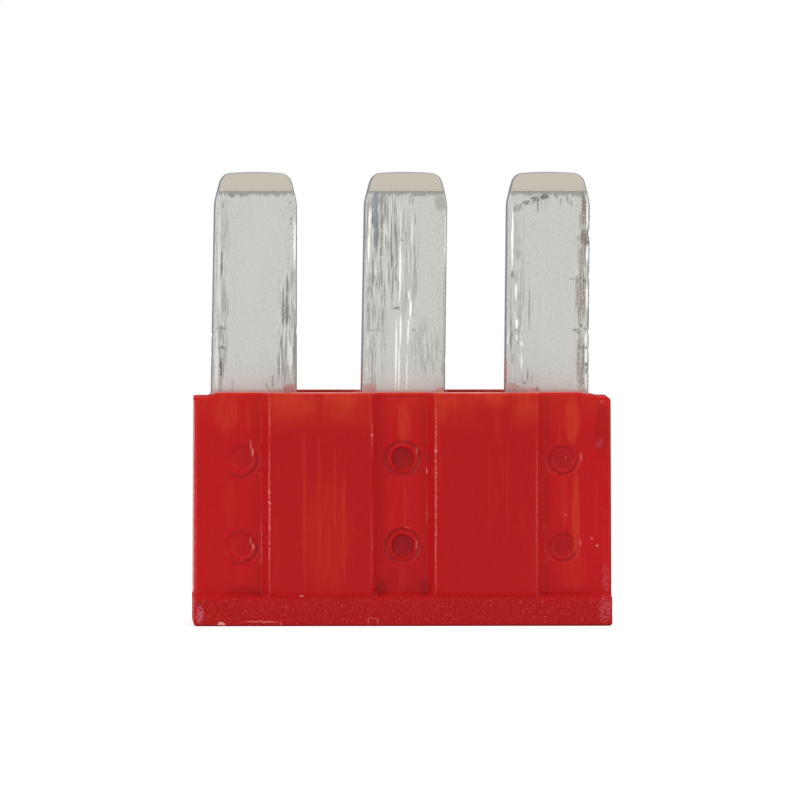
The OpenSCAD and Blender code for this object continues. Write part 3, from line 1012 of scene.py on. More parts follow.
# Pale flecks and scratches that stand alone, and painted glints on the stake marks and on the panels' edges.
FLECKS_AND_GLINTS = (
    (-5.23, 6.06, 6.4, 0.05, 0.45),
    (-5.16, 5.82, 6.12, 0.07, 0.6),
    (-5.23, 2.8, 3.02, 0.05, 0.35),
    (-5.15, 2.6, 2.86, 0.07, 0.45),
    (-1.07, 6.53, 6.63, 0.1, 0.7),
    (0.48, 5.88, 6.16, 0.06, 0.3),
    (0.47, 2.62, 2.92, 0.06, 0.3),
    (0.15, 3.36, 3.42, 0.22, 0.2),
    (1.12, 5.97, 6.07, 0.1, 0.75),
    (1.12, 5.62, 5.7, 0.09, 0.55),
    (1.13, 5.25, 5.33, 0.09, 0.55),
    (-4.6, 4.55, 4.65, 0.1, 0.6),
    (-4.6, 4.2, 4.32, 0.1, 0.7),
    (-4.6, 3.35, 3.45, 0.09, 0.55),
    (6.14, 5.66, 5.98, 0.07, 0.3),
    (6.1, 2.72, 2.98, 0.07, 0.25),
    (6.68, 2.68, 2.78, 0.12, 0.4),
    (6.5, 2.95, 3.05, 0.1, 0.3),
    (5.61, 5.75, 5.81, 0.07, 0.3),
    (5.61, 3.75, 3.83, 0.08, 0.3),
    (-3.48, 1.0, 1.07, 0.16, 0.5),
    (-4.86, 0.125, 0.17, 1.3, 0.5),
    (-4.2, 0.03, 0.16, 0.05, 0.4),
    (-6.24, 0.02, 0.15, 0.28, 1.0),
    (-1.03, 0.25, 0.28, 0.36, 0.35),
    (-1.2, 0.06, 0.28, 0.04, 0.35),
    (-0.87, 0.06, 0.28, 0.04, 0.35),
)
# Scuffed corners, broken up by the grain, and a painted highlight up the left upright edge where it catches
# the key lamp.
SCUFFS = (
    (-6.98, 0.08, 0.75, 0.28, 1.0),
    (-7.15, 0.3, 7.8, 0.1, 0.45),
    (6.95, 0.1, 1.1, 0.45, 0.5),
    (6.98, 1.0, 2.3, 0.25, 0.35),
    (6.85, 7.66, 7.76, 0.25, 0.4),
    (6.78, 6.1, 6.5, 0.3, 0.25),
)
# Painted shade in soft deep red: the feet of the bays, the rim over the middle bay and the driven stakes.
PAINTED_SHADE = (
    (-5.4, 0.95, 1.35, 1.5, 0.3),
    (-0.72, 1.0, 1.6, 0.5, 0.4),
    (0.72, 1.0, 1.6, 0.5, 0.4),
    (0.0, 0.85, 2.2, 1.6, 0.22),
    (5.6, 0.95, 1.25, 1.9, 0.2),
    (0.0, 7.86, 7.93, 2.2, 0.3),
    (-5.45, 2.4, 3.1, 0.7, 0.15),
    (-5.45, 5.4, 6.1, 0.7, 0.2),
    (0.0, 5.32, 6.16, 0.84, 0.62),
    (0.0, 2.32, 3.16, 0.84, 0.62),
    (5.52, 5.3, 6.1, 0.8, 0.35),
    (5.52, 2.3, 3.1, 0.8, 0.35),
    (6.85, 5.8, 7.7, 0.55, 0.3),
)
# Painted shade: deep red arcs round the stakes. A row is X, Z, radius and width in millimetres, direction in
# degrees and strength.
STAKE_SHADE_ARCS = (
    (-5.58, 5.7, 0.56, 0.22, -50, 0.55),
    (-5.58, 5.7, 0.5, 0.2, 80, 0.3),
    (-5.58, 2.72, 0.56, 0.22, -55, 0.55),
    (-5.58, 2.72, 0.5, 0.2, 75, 0.4),
    (0.0, 5.74, 0.6, 0.2, 170, 0.75),
    (0.0, 5.74, 0.6, 0.2, 15, 0.7),
    (0.0, 5.74, 0.5, 0.26, -90, 0.55),
    (0.0, 2.72, 0.6, 0.2, 170, 0.7),
    (0.0, 2.72, 0.6, 0.2, 30, 0.6),
    (0.0, 2.72, 0.5, 0.26, -90, 0.55),
    (5.53, 5.7, 0.46, 0.16, -90, 0.75),
    (5.53, 5.7, 0.46, 0.16, 130, 0.65),
    (5.53, 5.7, 0.44, 0.12, 20, 0.4),
    (5.53, 2.7, 0.46, 0.16, -90, 0.6),
    (5.53, 2.7, 0.46, 0.16, 110, 0.65),
)


# Polyamide: its refractive index, and how far red, green and blue light spread in it, as shares of the
# light's reach.
PLASTIC_IOR = 1.53
PLASTIC_SPREAD = (1.0, 0.12, 0.08)
# Its roughness on the body, on the spark-eroded head, and where it is dull.
BODY_ROUGHNESS = 0.36
HEAD_ROUGHNESS = 0.55
DULL_ROUGHNESS = 0.95
# How far the noise moves what is drawn on the plastic and on the zinc, in millimetres.
PLASTIC_SWAY = 0.03
ZINC_SWAY = 0.035


def red_plastic(scene):
    """Translucent moulded red: bays, slightly deeper panels that glow orange near the mouth, fine draw
    marks, a matt speckled head band and scuffed corners. Painted light and shade: the slopes beside the
    panels are painted lighter, most where they turn from the key lamp, and so are the punch marks;
    painted shade lies at the feet of the bays, in the driven stakes, in deep red arcs round them and
    along the base; pale dotted painted highlights run along the panels' edges, partly rubbed, with
    painted glints at the stakes among real pale flecks; and the mouth's level top and the slot's inner
    wall are painted paler as a sheen. The rim's rounding, the ledge and the dropped ends are dull, so
    that no lamp draws a bright line along them."""
    s, f = scene.fuse_housing, scene.fuse_finish
    m = Shader("red_plastic")
    across, deep = m.math("ABSOLUTE", m.x), m.math("ABSOLUTE", m.y)
    top, head = s.height / MM, s.head_height / MM
    bay, flank = s.bay_width / 2 / MM, s.flank / MM
    edge = bay + s.panel_width / MM
    bay_face = s.bay_thickness / 2 / MM
    slot_end = s.slot_length / 2 / MM
    front = m.ramp(m.y, 0.0, -0.5)
    above_head = m.ramp(m.z, head - 0.02, head + 0.02)
    on_panel = m.times(m.band(across, bay - 0.05, edge + 0.05, 0.12), above_head)
    in_head = m.ramp(m.z, head + 0.12, head - 0.1)
    grain = m.noise(11, detail=4, roughness=0.7)
    speck = m.noise(13, detail=2, roughness=0.5, shift=(3, 1, 7))
    draw = m.noise(9, stretch=(1, 1, 26), detail=3)
    broad = m.noise(2.2, stretch=(1, 1, 7), shift=(5, 2, 1), detail=2)
    cloud = m.noise(0.9, shift=(2, 8, 4), detail=2)
    where = m.wandering(m.x, PLASTIC_SWAY)

    colour = m.mix(on_panel, rgba(f.bay), rgba(f.panel))
    colour = m.mix(in_head, colour, rgba(f.head))
    # Painted light: the slopes beside the panels take the lighter flank red, fully where they turn right,
    # away from the key lamp, and at 0.6 where they turn left towards it.
    turned_left = m.most(m.band(m.x, bay - flank, bay, 0.06), m.band(m.x, -edge - flank, -edge, 0.06))
    turned_right = m.most(m.band(m.x, -bay, flank - bay, 0.06), m.band(m.x, edge, edge + flank, 0.06))
    flank_painted_light = m.most(m.times(turned_left, 0.6), turned_right)
    flank_painted_light = m.times(flank_painted_light, above_head, m.ramp(deep, bay_face - 0.1, bay_face))
    colour = m.mix(flank_painted_light, colour, rgba(f.flank))
    near_mouth = m.ramp(m.z, top - 1.6, top - 0.1)
    glow = m.times(near_mouth, m.ramp(m.math("MULTIPLY_ADD", draw, 0.4, cloud), 0.4, 0.85))
    glow = m.times(glow, m.ramp(on_panel, 0, 1, 0.3, 0.8))
    mottled = m.times(m.ramp(grain, 0.47, 0.68), m.ramp(near_mouth, 0, 1, 0.14, 0.3), above_head)
    streaks = m.times(m.ramp(draw, 0.54, 0.72), m.ramp(broad, 0.42, 0.62), above_head, 0.2)
    fine = m.noise(17, stretch=(1, 1, 14), shift=(6, 2, 9), detail=4, roughness=0.7)
    shining = m.times(m.strokes(where, GLOWING), front, m.ramp(fine, 0.4, 0.6, start=0.5))
    colour = m.mix(m.most(glow, streaks, shining, mottled), colour, rgba(f.glow))

    # Painted light: whatever lies set back behind the bays' face, the punch marks and the hollows inside,
    # takes the lighter flank red against its shade.
    in_punch = m.times(m.ramp(deep, bay_face - 0.04, bay_face - 0.14), m.ramp(m.z, top - 0.5, top - 0.6))
    colour = m.mix(m.times(in_punch, above_head, 0.7), colour, rgba(f.flank))
    # Painted shade in deep red, on the front only: at the feet of the bays, on the rim over the middle bay,
    # in the driven stakes and in arcs round them.
    deeper = m.times(m.strokes(where, PAINTED_SHADE), m.ramp(cloud, 0.3, 0.6, start=0.75))
    stakes = m.arcs(where, STAKE_SHADE_ARCS)
    colour = m.mix(m.times(m.most(deeper, stakes), front), colour, rgba(f.shadow))

    head_specks = m.times(in_head, m.ramp(speck, 0.58, 0.68), m.ramp(grain, 0.44, 0.6), 0.16)
    orange_row = m.times(m.band(m.z, 0.1, 0.36, 0.1), m.ramp(grain, 0.48, 0.62), 0.22)
    head_mottle = m.times(in_head, m.ramp(grain, 0.48, 0.64), 0.25)
    colour = m.mix(m.most(orange_row, head_mottle), colour, rgba(f.glow))
    # Painted shade: the deep red darkens the lowest 0.08 mm, round the base's edge.
    colour = m.mix(m.times(m.ramp(m.z, 0.08, 0.02), 0.45), colour, rgba(f.shadow))

    # Painted highlights and glints with real wear: pale dotted lines along the panels' edges, brightest where
    # they face the key lamp, glints at the stakes, and real flecks and scratches.
    dotted = m.ramp(m.noise(15, stretch=(1, 1, 1.5), shift=(1, 4, 2), detail=1), 0.42, 0.6, start=0.15)
    lines = m.times(m.strokes(where, RUBBED_EDGES_AND_HIGHLIGHTS), dotted)
    flecks = m.times(m.most(lines, m.strokes(where, FLECKS_AND_GLINTS)), front)
    at_corner = m.ramp(deep, bay_face - 0.3, bay_face - 0.1)
    scuffs = m.times(m.strokes(where, SCUFFS), m.ramp(grain, 0.42, 0.58), front, at_corner)
    at_end = m.ramp(across, slot_end - 0.35, slot_end - 0.1)
    # Painted sheen and light: the mouth's level top and the slot's inner wall just below it are paled, with
    # faint pale specks along the front edge; the dropped ends are left out.
    level_top = m.ramp(m.z, top - 0.025, top - 0.005)
    front_edge = m.band(m.z, top - 0.09, top - 0.03, 0.05)
    front_edge = m.times(front_edge, m.ramp(speck, 0.36, 0.6, start=0.4), 0.05)
    inner_wall = m.ramp(deep, bay_face - 0.12, bay_face - 0.2)
    inner_wall = m.times(inner_wall, m.ramp(m.z, top - 0.5, top - 0.1), 0.4)
    rim = m.times(m.most(front_edge, m.times(level_top, 0.3), inner_wall), m.ramp(at_end, 1, 0))
    colour = m.mix(scuffs, colour, rgba(f.bruised))
    colour = m.mix(m.most(flecks, rim, head_specks), colour, rgba(f.rubbed))

    roughness = m.ramp(in_head, 0, 1, BODY_ROUGHNESS, HEAD_ROUGHNESS)
    roughness = m.math("MULTIPLY_ADD", m.math("SUBTRACT", grain, 0.5), 0.3, roughness)
    on_top = m.times(m.ramp(m.z, top - 0.4, top - 0.25), at_end)
    on_ledge = m.band(m.z, head - 0.06, head + 0.16, 0.05)
    rounding = m.band(m.z, top - 0.13, top - 0.015, 0.02)
    roughness = m.most(roughness, m.times(m.most(on_top, on_ledge, rounding), DULL_ROUGHNESS))
    pitted = m.bump(m.math("MULTIPLY", grain, m.ramp(in_head, 0, 1, 0.2, 0.8)), 0.012)
    drawn = m.bump(m.math("MULTIPLY", draw, above_head), 0.005, under=pitted)
    return m.principled(
        Base_Color=colour,
        Roughness=roughness,
        Normal=drawn,
        Specular_IOR_Level=f.gloss,
        IOR=PLASTIC_IOR,
        Subsurface_Weight=f.translucency,
        Subsurface_Radius=PLASTIC_SPREAD,
        Subsurface_Scale=f.light_reach,
    )


# Strokes on the front of the blades, whose middles are at X -5, 0 and 5. The places are taken with the blades
# drawn straight. A row is X, lowest and highest Z and width in millimetres, and strength.
# Areas where the drawing streaks show strongly.
STREAKY = (
    (-6.12, 7.8, 15.0, 0.55, 0.75),
    (-3.85, 7.8, 12.6, 0.8, 0.85),
    (-0.75, 12.0, 15.2, 1.7, 0.9),
    (-0.75, 10.8, 13.2, 1.7, 0.9),
    (-1.0, 7.8, 12.0, 0.9, 0.65),
    (0.2, 10.0, 14.0, 0.8, 0.6),
    (0.8, 8.5, 10.6, 1.2, 0.5),
    (3.95, 7.8, 15.0, 0.6, 0.5),
    (6.2, 7.8, 15.0, 0.55, 0.7),
)
# Dark grey.
DARK = (
    (-6.15, 11.9, 13.05, 0.08, 0.85),
    (-6.08, 10.35, 12.0, 0.12, 0.4),
    (-6.08, 12.95, 14.45, 0.2, 0.22),
    (-6.14, 14.33, 14.6, 0.1, 0.6),
    (-5.87, 14.7, 14.87, 0.3, 0.7),
    (-5.51, 14.72, 14.87, 0.22, 0.65),
    (-3.8, 14.45, 14.57, 0.1, 0.5),
    (-3.75, 13.93, 14.05, 0.11, 0.6),
    (-3.77, 13.72, 13.86, 0.12, 0.35),
    (-3.72, 11.65, 12.35, 0.07, 0.75),
    (-3.89, 11.2, 12.1, 0.08, 0.8),
    (-4.02, 10.1, 11.75, 0.1, 0.8),
    (-3.9, 10.2, 11.15, 0.1, 0.85),
    (-3.8, 9.7, 10.15, 0.06, 0.5),
    (-3.65, 9.6, 10.15, 0.06, 0.6),
    (-3.92, 9.25, 10.1, 0.07, 0.5),
    (-4.17, 8.3, 9.55, 0.09, 0.6),
    (-4.04, 8.5, 9.6, 0.08, 0.55),
    (-4.36, 8.1, 8.62, 0.08, 0.6),
    (-4.56, 8.0, 8.38, 0.07, 0.55),
    (-6.14, 10.13, 10.28, 0.42, 0.6),
    (-6.14, 9.82, 10.15, 0.14, 0.45),
    (-6.11, 9.47, 9.6, 0.38, 0.7),
    (-6.13, 8.45, 9.25, 0.1, 1.0),
    (-6.13, 7.9, 8.6, 0.08, 0.7),
    (-6.04, 8.35, 9.45, 0.07, 0.55),
    (-5.73, 7.95, 8.5, 0.07, 0.4),
    (-6.37, 8.2, 9.25, 0.04, 0.5),
    (-0.86, 14.4, 14.87, 0.2, 0.5),
    (-0.82, 13.48, 14.22, 0.07, 0.9),
    (-0.83, 13.05, 13.55, 0.06, 0.4),
    (-0.6, 13.7, 14.43, 0.06, 0.55),
    (-0.48, 12.5, 14.43, 0.06, 0.6),
    (-0.45, 12.2, 12.9, 0.08, 0.8),
    (-0.68, 12.95, 13.47, 0.07, 0.55),
    (-0.84, 12.62, 13.02, 0.08, 0.8),
    (0.34, 13.7, 14.2, 0.05, 0.55),
    (-0.07, 13.5, 14.15, 0.05, 0.35),
    (0.13, 12.75, 13.8, 0.05, 0.45),
    (-0.13, 13.17, 13.26, 0.2, 0.55),
    (0.0, 13.46, 13.55, 0.09, 0.65),
    (1.22, 14.2, 14.83, 0.45, 0.4),
    (0.45, 14.72, 14.86, 0.7, 0.55),
    (0.15, 14.48, 14.8, 0.06, 0.5),
    (0.26, 14.45, 14.76, 0.06, 0.5),
    (-1.14, 11.7, 12.1, 0.35, 0.4),
    (-0.28, 10.83, 10.94, 0.3, 0.65),
    (-0.78, 10.46, 10.56, 0.18, 0.4),
    (-0.98, 10.1, 10.18, 0.65, 0.4),
    (0.34, 10.1, 10.18, 0.2, 0.45),
    (0.69, 10.1, 10.18, 0.24, 0.4),
    (-1.25, 10.76, 10.98, 0.07, 0.65),
    (-1.16, 9.28, 9.92, 0.07, 0.5),
    (-1.03, 9.45, 9.9, 0.06, 0.4),
    (3.95, 14.2, 14.5, 0.32, 0.5),
    (4.23, 14.43, 14.62, 0.3, 0.65),
    (4.54, 14.53, 14.73, 0.37, 0.8),
    (4.88, 14.62, 14.83, 0.37, 0.9),
    (4.06, 14.24, 14.56, 0.07, 0.55),
    (4.47, 14.4, 14.66, 0.06, 0.55),
    (4.65, 14.12, 14.76, 0.07, 0.7),
    (4.78, 14.28, 14.66, 0.05, 0.35),
    (4.9, 14.34, 14.66, 0.05, 0.35),
    (5.31, 14.65, 14.85, 0.14, 0.55),
    (5.45, 14.42, 14.73, 0.09, 0.45),
    (5.69, 14.48, 14.83, 0.09, 0.55),
    (5.81, 14.42, 14.62, 0.12, 0.5),
    (6.19, 14.7, 14.85, 0.38, 0.55),
    (3.82, 14.18, 14.43, 0.08, 0.65),
    (3.92, 12.8, 14.15, 0.06, 0.35),
    (3.95, 12.58, 12.95, 0.25, 0.35),
    (4.5, 13.73, 13.81, 0.1, 0.35),
    (6.1, 13.45, 14.5, 0.06, 0.35),
    (6.4, 13.46, 13.6, 0.1, 1.0),
    (6.4, 13.07, 13.22, 0.1, 1.0),
    (6.05, 13.18, 13.42, 0.14, 0.4),
    (6.28, 11.72, 11.95, 0.12, 0.95),
    (6.02, 11.7, 12.0, 0.14, 0.5),
    (5.86, 11.83, 11.92, 0.26, 0.35),
    (6.18, 10.2, 10.36, 0.12, 0.85),
    (5.98, 10.08, 10.18, 0.32, 0.65),
    (6.09, 9.97, 10.12, 0.22, 0.55),
    (6.33, 10.12, 10.2, 0.22, 0.55),
    (6.4, 10.14, 10.95, 0.08, 0.8),
    (6.24, 9.47, 9.57, 0.42, 0.65),
    (6.37, 8.86, 9.04, 0.13, 0.9),
    (6.38, 8.6, 8.82, 0.09, 0.65),
    (6.26, 8.25, 8.44, 0.1, 0.65),
    (6.28, 7.98, 8.15, 0.08, 0.65),
    (3.79, 11.9, 12.2, 0.15, 0.65),
    (4.07, 11.08, 11.56, 0.07, 0.5),
    (4.09, 10.2, 11.1, 0.05, 0.4),
    (4.38, 10.03, 11.73, 0.055, 0.6),
    (4.51, 10.6, 11.5, 0.04, 0.25),
    (4.73, 10.6, 11.4, 0.04, 0.25),
    (3.98, 10.08, 10.16, 0.25, 0.55),
    (3.81, 8.93, 9.36, 0.14, 0.4),
    (4.22, 8.26, 8.37, 0.22, 0.55),
    (4.34, 8.32, 8.78, 0.07, 0.65),
    (4.14, 8.28, 8.6, 0.06, 0.4),
    (4.49, 8.22, 8.6, 0.06, 0.45),
    (4.67, 7.98, 8.22, 0.13, 0.65),
)
# Blue grey and brown grey, on the broader bands.
BLUE_GREY = (
    (-1.08, 14.15, 14.95, 0.34, 0.7),
    (-1.05, 13.5, 14.45, 0.28, 0.85),
    (-1.03, 12.85, 13.75, 0.18, 0.75),
    (-1.02, 12.6, 13.0, 0.1, 0.4),
)
BROWN_GREY = (
    (-3.62, 8.0, 9.6, 0.12, 0.5),
    (1.38, 8.0, 12.4, 0.11, 0.25),
    (1.36, 8.55, 9.12, 0.1, 0.5),
    (6.25, 13.65, 14.85, 0.19, 0.9),
    (6.21, 13.7, 14.2, 0.22, 0.6),
    (6.43, 13.7, 14.75, 0.07, 0.65),
    (6.27, 13.0, 13.62, 0.34, 0.85),
    (6.2, 12.1, 13.1, 0.28, 0.6),
    (6.19, 10.3, 12.55, 0.32, 0.75),
    (6.17, 7.95, 10.15, 0.3, 0.6),
    (3.76, 9.35, 10.65, 0.11, 0.6),
)
# Burnished white lines; those along the blades' long edges are painted highlights.
BRIGHT = (
    (-6.24, 10.3, 14.6, 0.11, 0.3),
    (-6.26, 7.9, 10.15, 0.12, 0.35),
    (-3.63, 12.25, 14.05, 0.09, 0.85),
    (-3.78, 8.75, 9.72, 0.19, 0.4),
    (-4.1, 8.5, 9.5, 0.06, 0.35),
    (-4.59, 7.93, 8.07, 0.12, 0.8),
    (-1.24, 13.4, 14.4, 0.12, 0.75),
    (-1.26, 12.4, 13.6, 0.09, 0.85),
    (-0.16, 11.05, 13.3, 0.07, 1.0),
    (-0.16, 13.2, 14.4, 0.05, 0.5),
    (0.23, 12.8, 14.15, 0.06, 0.5),
    (-0.26, 7.85, 10.62, 0.07, 0.8),
    (-0.12, 9.55, 10.68, 0.07, 0.9),
    (-0.15, 7.85, 9.65, 0.07, 0.65),
    (0.17, 11.18, 11.52, 0.08, 0.75),
    (0.22, 10.55, 11.26, 0.09, 1.0),
    (0.15, 9.62, 10.56, 0.07, 0.85),
    (0.12, 7.9, 9.36, 0.06, 0.55),
    (-0.55, 12.6, 14.2, 0.05, 0.35),
    (-0.72, 12.9, 13.9, 0.05, 0.35),
    (1.4, 12.2, 14.25, 0.06, 0.6),
    (3.77, 12.2, 14.4, 0.08, 1.0),
    (3.92, 11.1, 11.8, 0.08, 0.85),
    (3.95, 10.2, 10.53, 0.1, 0.95),
    (3.88, 10.3, 10.85, 0.05, 0.5),
    (3.95, 9.75, 10.02, 0.08, 0.55),
    (4.13, 9.55, 9.75, 0.08, 0.75),
    (4.13, 8.78, 9.36, 0.07, 0.65),
    (3.67, 9.55, 10.2, 0.06, 0.5),
    (6.36, 13.58, 14.63, 0.07, 0.8),
    (6.36, 12.42, 13.08, 0.09, 0.85),
    (6.36, 10.83, 11.78, 0.07, 0.85),
    (6.35, 9.57, 10.02, 0.08, 0.8),
    (6.35, 8.98, 9.5, 0.08, 0.75),
    (6.36, 8.1, 8.6, 0.08, 0.65),
)
# Painted reflection: red of the housing, mirrored in the roots.
HOUSING_REFLECTION = (
    (-3.75, 7.9, 8.3, 0.6, 0.75),
    (-4.2, 7.95, 8.12, 1.0, 0.35),
    (-1.15, 7.95, 8.33, 0.5, 0.55),
    (-1.43, 7.9, 8.95, 0.08, 0.6),
    (1.28, 7.9, 8.18, 0.35, 0.6),
    (3.85, 7.95, 8.32, 0.5, 0.55),
    (4.3, 7.95, 8.2, 1.1, 0.4),
    (3.6, 7.9, 9.25, 0.09, 0.75),
)


def plated_zinc(scene):
    """Dull plated zinc, drawn lengthwise: dark, brown and burnished strokes, the burnished ones along the
    long edges being painted highlights, and a dark ragged line under the coined tips, whose warm grey is a
    painted reflection. Blue-grey painted shade outlines the edges, strongest on the left, the roots are
    lifted with painted light, and a painted reflection of the housing lays a touch of red at the roots."""
    e, f = scene.fuse_element, scene.fuse_finish
    m = Shader("plated_zinc")
    mouth = scene.fuse_housing.height / MM
    bevel = (e.tip - e.bevel_height) / MM
    half = e.blade_width / 2 / MM
    pitch = e.blade_pitch / MM
    across, inset = m.attribute("across"), m.attribute("inset")
    own = m.math("WRAP", across, pitch / 2, -pitch / 2)
    where = m.wandering(across, ZINC_SWAY)
    front = m.ramp(m.y, 0.05, -0.15)
    streak = m.noise(19, stretch=(1, 1, 18), detail=4, roughness=0.7)
    broad = m.noise(7, stretch=(1, 1, 16), shift=(4, 0, 2), detail=3)
    patch = m.noise(0.8, stretch=(1, 1, 3), shift=(7, 3, 1), detail=2)
    grain = m.noise(15, stretch=(1, 1, 1.3), shift=(2, 6, 3), detail=3, roughness=0.7)

    streaky = m.math("MULTIPLY_ADD", m.times(m.strokes(where, STREAKY), front), 0.75, 0.03)
    drawn_dark = m.times(m.ramp(streak, 0.48, 0.62), streaky)
    at_edge = m.ramp(m.math("ABSOLUTE", own), half - 0.45, half - 0.2, 0.2, 0.34)
    mottle = m.times(m.ramp(grain, 0.46, 0.66), m.ramp(patch, 0.35, 0.6, start=0.5), at_edge)
    broken = m.ramp(grain, 0.36, 0.5, start=0.35)
    dark = m.times(m.strokes(where, DARK), broken, front)
    ragged = m.math("MULTIPLY_ADD", streak, 0.3, m.math("MULTIPLY_ADD", broad, 0.3, m.z))
    ticks = m.band(ragged, bevel + 0.16, bevel + 0.4, 0.1)
    ticks = m.times(ticks, m.ramp(m.z, bevel, bevel - 0.02), 0.55)
    creased = m.band(m.z, bevel - 0.06, bevel + 0.005, 0.05)
    creased = m.times(creased, m.ramp(grain, 0.3, 0.55, start=0.5), 0.75)
    dark = m.most(drawn_dark, mottle, dark, ticks, creased)
    colour = m.mix(m.times(m.strokes(where, BLUE_GREY), front), rgba(f.zinc), rgba(f.blued))
    colour = m.mix(m.times(m.strokes(where, BROWN_GREY), broken, front), colour, rgba(f.browned))
    colour = m.mix(dark, colour, rgba(f.zinc_dark))
    # Burnished lines, and along the long edges painted highlights.
    bright = m.times(m.strokes(where, BRIGHT), m.ramp(grain, 0.3, 0.45, start=0.6), front)
    drawn_bright = m.times(m.ramp(streak, 0.46, 0.32), streaky, 0.6)
    colour = m.mix(m.most(bright, drawn_bright), colour, rgba(f.zinc_bright))

    # Painted reflection: the coined bevels take a warm grey, greener near their foot.
    on_tip = m.ramp(m.z, bevel - 0.012, bevel + 0.012)
    near_bevel = m.ramp(m.math("MULTIPLY_ADD", grain, 0.15, m.z), bevel + 0.25, bevel + 0.05, end=0.5)
    tip = m.mix(near_bevel, rgba(f.tip), rgba(f.tip_low))
    colour = m.mix(on_tip, colour, tip)
    # Painted shade: blue grey on the rolled edges, broken by the grain, and firmer lines on the left edge,
    # round the tips and on the right edge.
    rolled = m.ramp(m.math("ABSOLUTE", own), half - 0.11, half - 0.04)
    colour = m.mix(m.times(rolled, m.ramp(grain, 0.4, 0.6, 0.2, 0.5)), colour, rgba(f.outline))
    outline = m.most(
        m.times(m.ramp(own, -half + 0.085, -half + 0.045), 0.85),
        m.times(m.ramp(inset, 0.055, 0.02), m.ramp(own, 0.2, 1.2, 0.6, 0.25), on_tip),
        m.times(m.ramp(own, half - 0.05, half - 0.01), 0.35),
    )
    colour = m.mix(outline, colour, rgba(f.outline))
    # Painted light: the roots are lifted towards the bright zinc, except on their rolled edges.
    root = m.ramp(m.z, mouth + 0.9, mouth, end=0.1)
    colour = m.mix(m.times(root, m.ramp(rolled, 1, 0)), colour, rgba(f.zinc_bright))
    # Painted reflection of the housing's red on the roots, and along the very root.
    red_reflection = m.times(m.strokes(where, HOUSING_REFLECTION), m.ramp(grain, 0.3, 0.6, start=0.3), front)
    colour = m.mix(red_reflection, colour, rgba(f.red_reflection))
    colour = m.mix(m.ramp(m.z, mouth + 0.1, mouth, end=0.35), colour, rgba(f.red_reflection))

    roughness = m.math("MULTIPLY_ADD", m.math("SUBTRACT", streak, 0.5), 0.3, 0.48)
    roughness = m.math("MULTIPLY_ADD", on_tip, 0.1, roughness)
    drawn = m.bump(m.math("MULTIPLY", broad, m.math("SUBTRACT", 1.0, on_tip)), 0.015, strength=0.4)
    pitted = m.bump(grain, 0.006, strength=0.5, under=drawn)
    return m.principled(Base_Color=colour, Metallic=1.0, Roughness=roughness, Normal=pitted)


def seen_directly(tree):
    """1 for camera, glossy and transmission rays, which see the background white, and 0 for the rest."""
    path = tree.nodes.new("ShaderNodeLightPath")
    total = path.outputs["Is Camera Ray"]
    for name in ("Is Glossy Ray", "Is Transmission Ray"):
        larger = tree.nodes.new("ShaderNodeMath")
        larger.operation = "MAXIMUM"
        tree.links.new(total, larger.inputs[0])
        tree.links.new(path.outputs[name], larger.inputs[1])
        total = larger.outputs[0]
    return total


def white_room(strength):
    """A world that is white where it is seen, and gives an even light of the given strength."""
    world = bpy.data.worlds.new("white_room")
    world.use_nodes = True
    tree = world.node_tree
    background = tree.nodes["Background"]
    background.inputs["Color"].default_value = (1, 1, 1, 1)
    level = tree.nodes.new("ShaderNodeMapRange")
    level.inputs["To Min"].default_value = strength
    level.inputs["To Max"].default_value = 1.0
    tree.links.new(seen_directly(tree), level.inputs["Value"])
    tree.links.new(level.outputs["Result"], background.inputs["Strength"])
    return world


# The paper's brightness and the light of its own that it shows.
PAPER = 0.85
PAPER_LIGHT = 0.5


def pale_floor():
    """Matt white paper, with enough light of its own where it is seen to stay white, and shadows that
    show."""
    material = bpy.data.materials.new("pale_floor")
    material.use_nodes = True
    tree = material.node_tree
    paper = tree.nodes["Principled BSDF"]
    paper.inputs["Base Color"].default_value = (PAPER, PAPER, PAPER, 1)
    paper.inputs["Roughness"].default_value = 0.9
    paper.inputs["Specular IOR Level"].default_value = 0.0
    paper.inputs["Emission Color"].default_value = (1, 1, 1, 1)
    own_light = tree.nodes.new("ShaderNodeMath")
    own_light.operation = "MULTIPLY"
    own_light.inputs[1].default_value = PAPER_LIGHT
    tree.links.new(seen_directly(tree), own_light.inputs[0])
    tree.links.new(own_light.outputs[0], paper.inputs["Emission Strength"])
    return material


# The lamps: name, azimuth and elevation in degrees, distance and size in metres, and power in watts.
LAMPS = (
    ("key", -42, 14, 0.4, 0.25, 0.54),
    ("fill", 48, 16, 0.4, 0.3, 0.36),
    ("top", 10, 75, 0.4, 0.25, 0.35),
    ("rim", 165, 35, 0.4, 0.25, 0.3),
)

FLOOR_POINTS = 96
# The camera's sensor in millimetres, and the nearest and farthest that it sees, in metres.
SENSOR = 36
NEAREST, FARTHEST = 0.01, 5


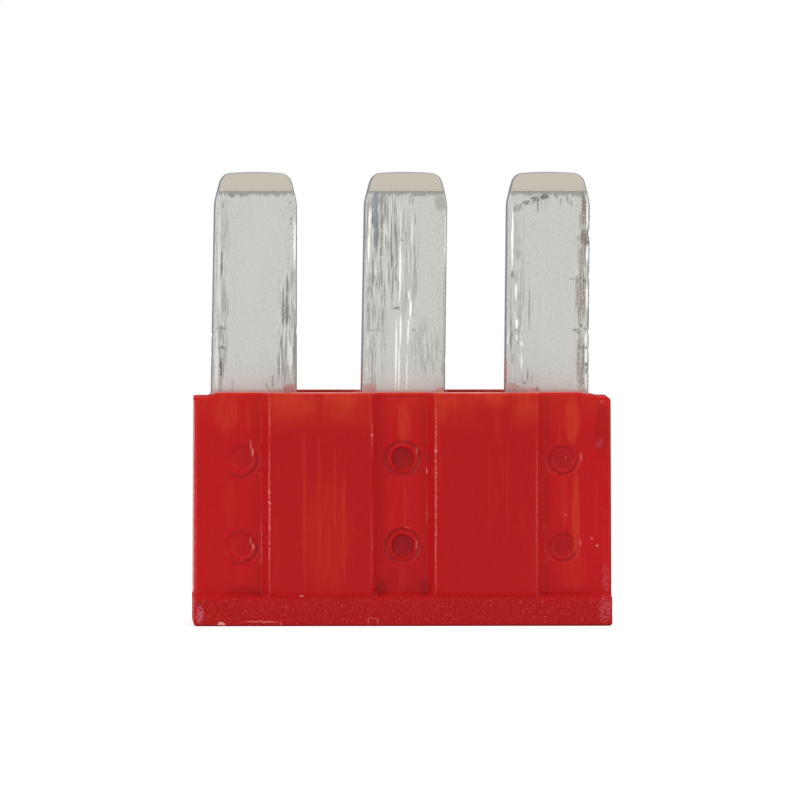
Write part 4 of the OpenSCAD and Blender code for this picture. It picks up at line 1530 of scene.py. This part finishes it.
class FUSE_OT_stage(bpy.types.Operator):
    """Sets up the floor, the lamps, the white room and the camera"""

    bl_idname = "fuse.stage"
    bl_label = "Studio"

    def execute(self, context):
        t = context.scene.fuse_stage
        aim = Vector((-t.aim_x, 0, t.aim_z))
        turn = np.arange(FLOOR_POINTS) * 2 * pi / FLOOR_POINTS
        disc = np.stack([np.cos(turn), np.sin(turn), np.zeros(FLOOR_POINTS)], axis=-1) * t.floor_radius
        floor = new_object("floor", (disc, [list(range(FLOOR_POINTS))]))
        floor.data.materials.append(pale_floor())
        for name, azimuth, elevation, distance, size, power in LAMPS:
            lamp = bpy.data.lights.new(name, "AREA")
            lamp.shape = "DISK"
            lamp.size = size
            lamp.energy = power
            lamp_object = bpy.data.objects.new(name, lamp)
            a, h = radians(azimuth), radians(elevation)
            away = Vector((sin(a) * cos(h), -cos(a) * cos(h), sin(h)))
            lamp_object.location = aim + away * distance
            lamp_object.rotation_euler = away.to_track_quat("Z", "Y").to_euler()
            context.scene.collection.objects.link(lamp_object)
        context.scene.world = white_room(t.ambient)

        camera = bpy.data.cameras.new("camera")
        camera.sensor_width = SENSOR
        front = context.scene.fuse_housing.head_thickness / 2
        camera.lens = camera.sensor_width * (t.camera_distance - front) / t.view_width
        camera.clip_start = NEAREST
        camera.clip_end = FARTHEST
        camera_object = bpy.data.objects.new("camera", camera)
        rise = t.camera_height - t.aim_z
        out = Vector((-sin(t.azimuth), -cos(t.azimuth), 0)) * t.camera_distance
        camera_object.location = aim + out + Vector((0, 0, rise))
        camera_object.rotation_euler = (camera_object.location - aim).to_track_quat("Z", "Y").to_euler()
        context.scene.collection.objects.link(camera_object)
        context.scene.camera = camera_object
        context.scene.view_settings.view_transform = "Standard"
        return {"FINISHED"}


class FUSE_PT_panel(bpy.types.Panel):
    """Lists the pieces and their sizes"""

    bl_idname = "FUSE_PT_panel"
    bl_label = "Blade Fuse"
    bl_space_type = "VIEW_3D"
    bl_region_type = "UI"
    bl_category = "Fuse"

    def draw(self, context):
        for operator, group in OPERATORS:
            self.layout.operator(operator.bl_idname)
            sizes = getattr(context.scene, group)
            for name in type(sizes).__annotations__:
                self.layout.prop(sizes, name)
        finish = context.scene.fuse_finish
        for name in FUSE_PG_finish.__annotations__:
            self.layout.prop(finish, name)


OPERATORS = (
    (FUSE_OT_stage, "fuse_stage"),
    (FUSE_OT_housing, "fuse_housing"),
    (FUSE_OT_element, "fuse_element"),
)
GROUPS = {
    "fuse_stage": FUSE_PG_stage,
    "fuse_housing": FUSE_PG_housing,
    "fuse_element": FUSE_PG_element,
    "fuse_finish": FUSE_PG_finish,
}
CLASSES = (*GROUPS.values(), *(operator for operator, _ in OPERATORS), FUSE_PT_panel)


def register():
    for cls in CLASSES:
        bpy.utils.register_class(cls)
    for name, group in GROUPS.items():
        setattr(bpy.types.Scene, name, PointerProperty(type=group))


def unregister():
    for name in GROUPS:
        delattr(bpy.types.Scene, name)
    for cls in reversed(CLASSES):
        bpy.utils.unregister_class(cls)


def main():
    """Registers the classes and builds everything."""
    register()
    bpy.ops.fuse.stage()
    bpy.ops.fuse.housing()
    bpy.ops.fuse.element()


if __name__ == "__main__":
    main()
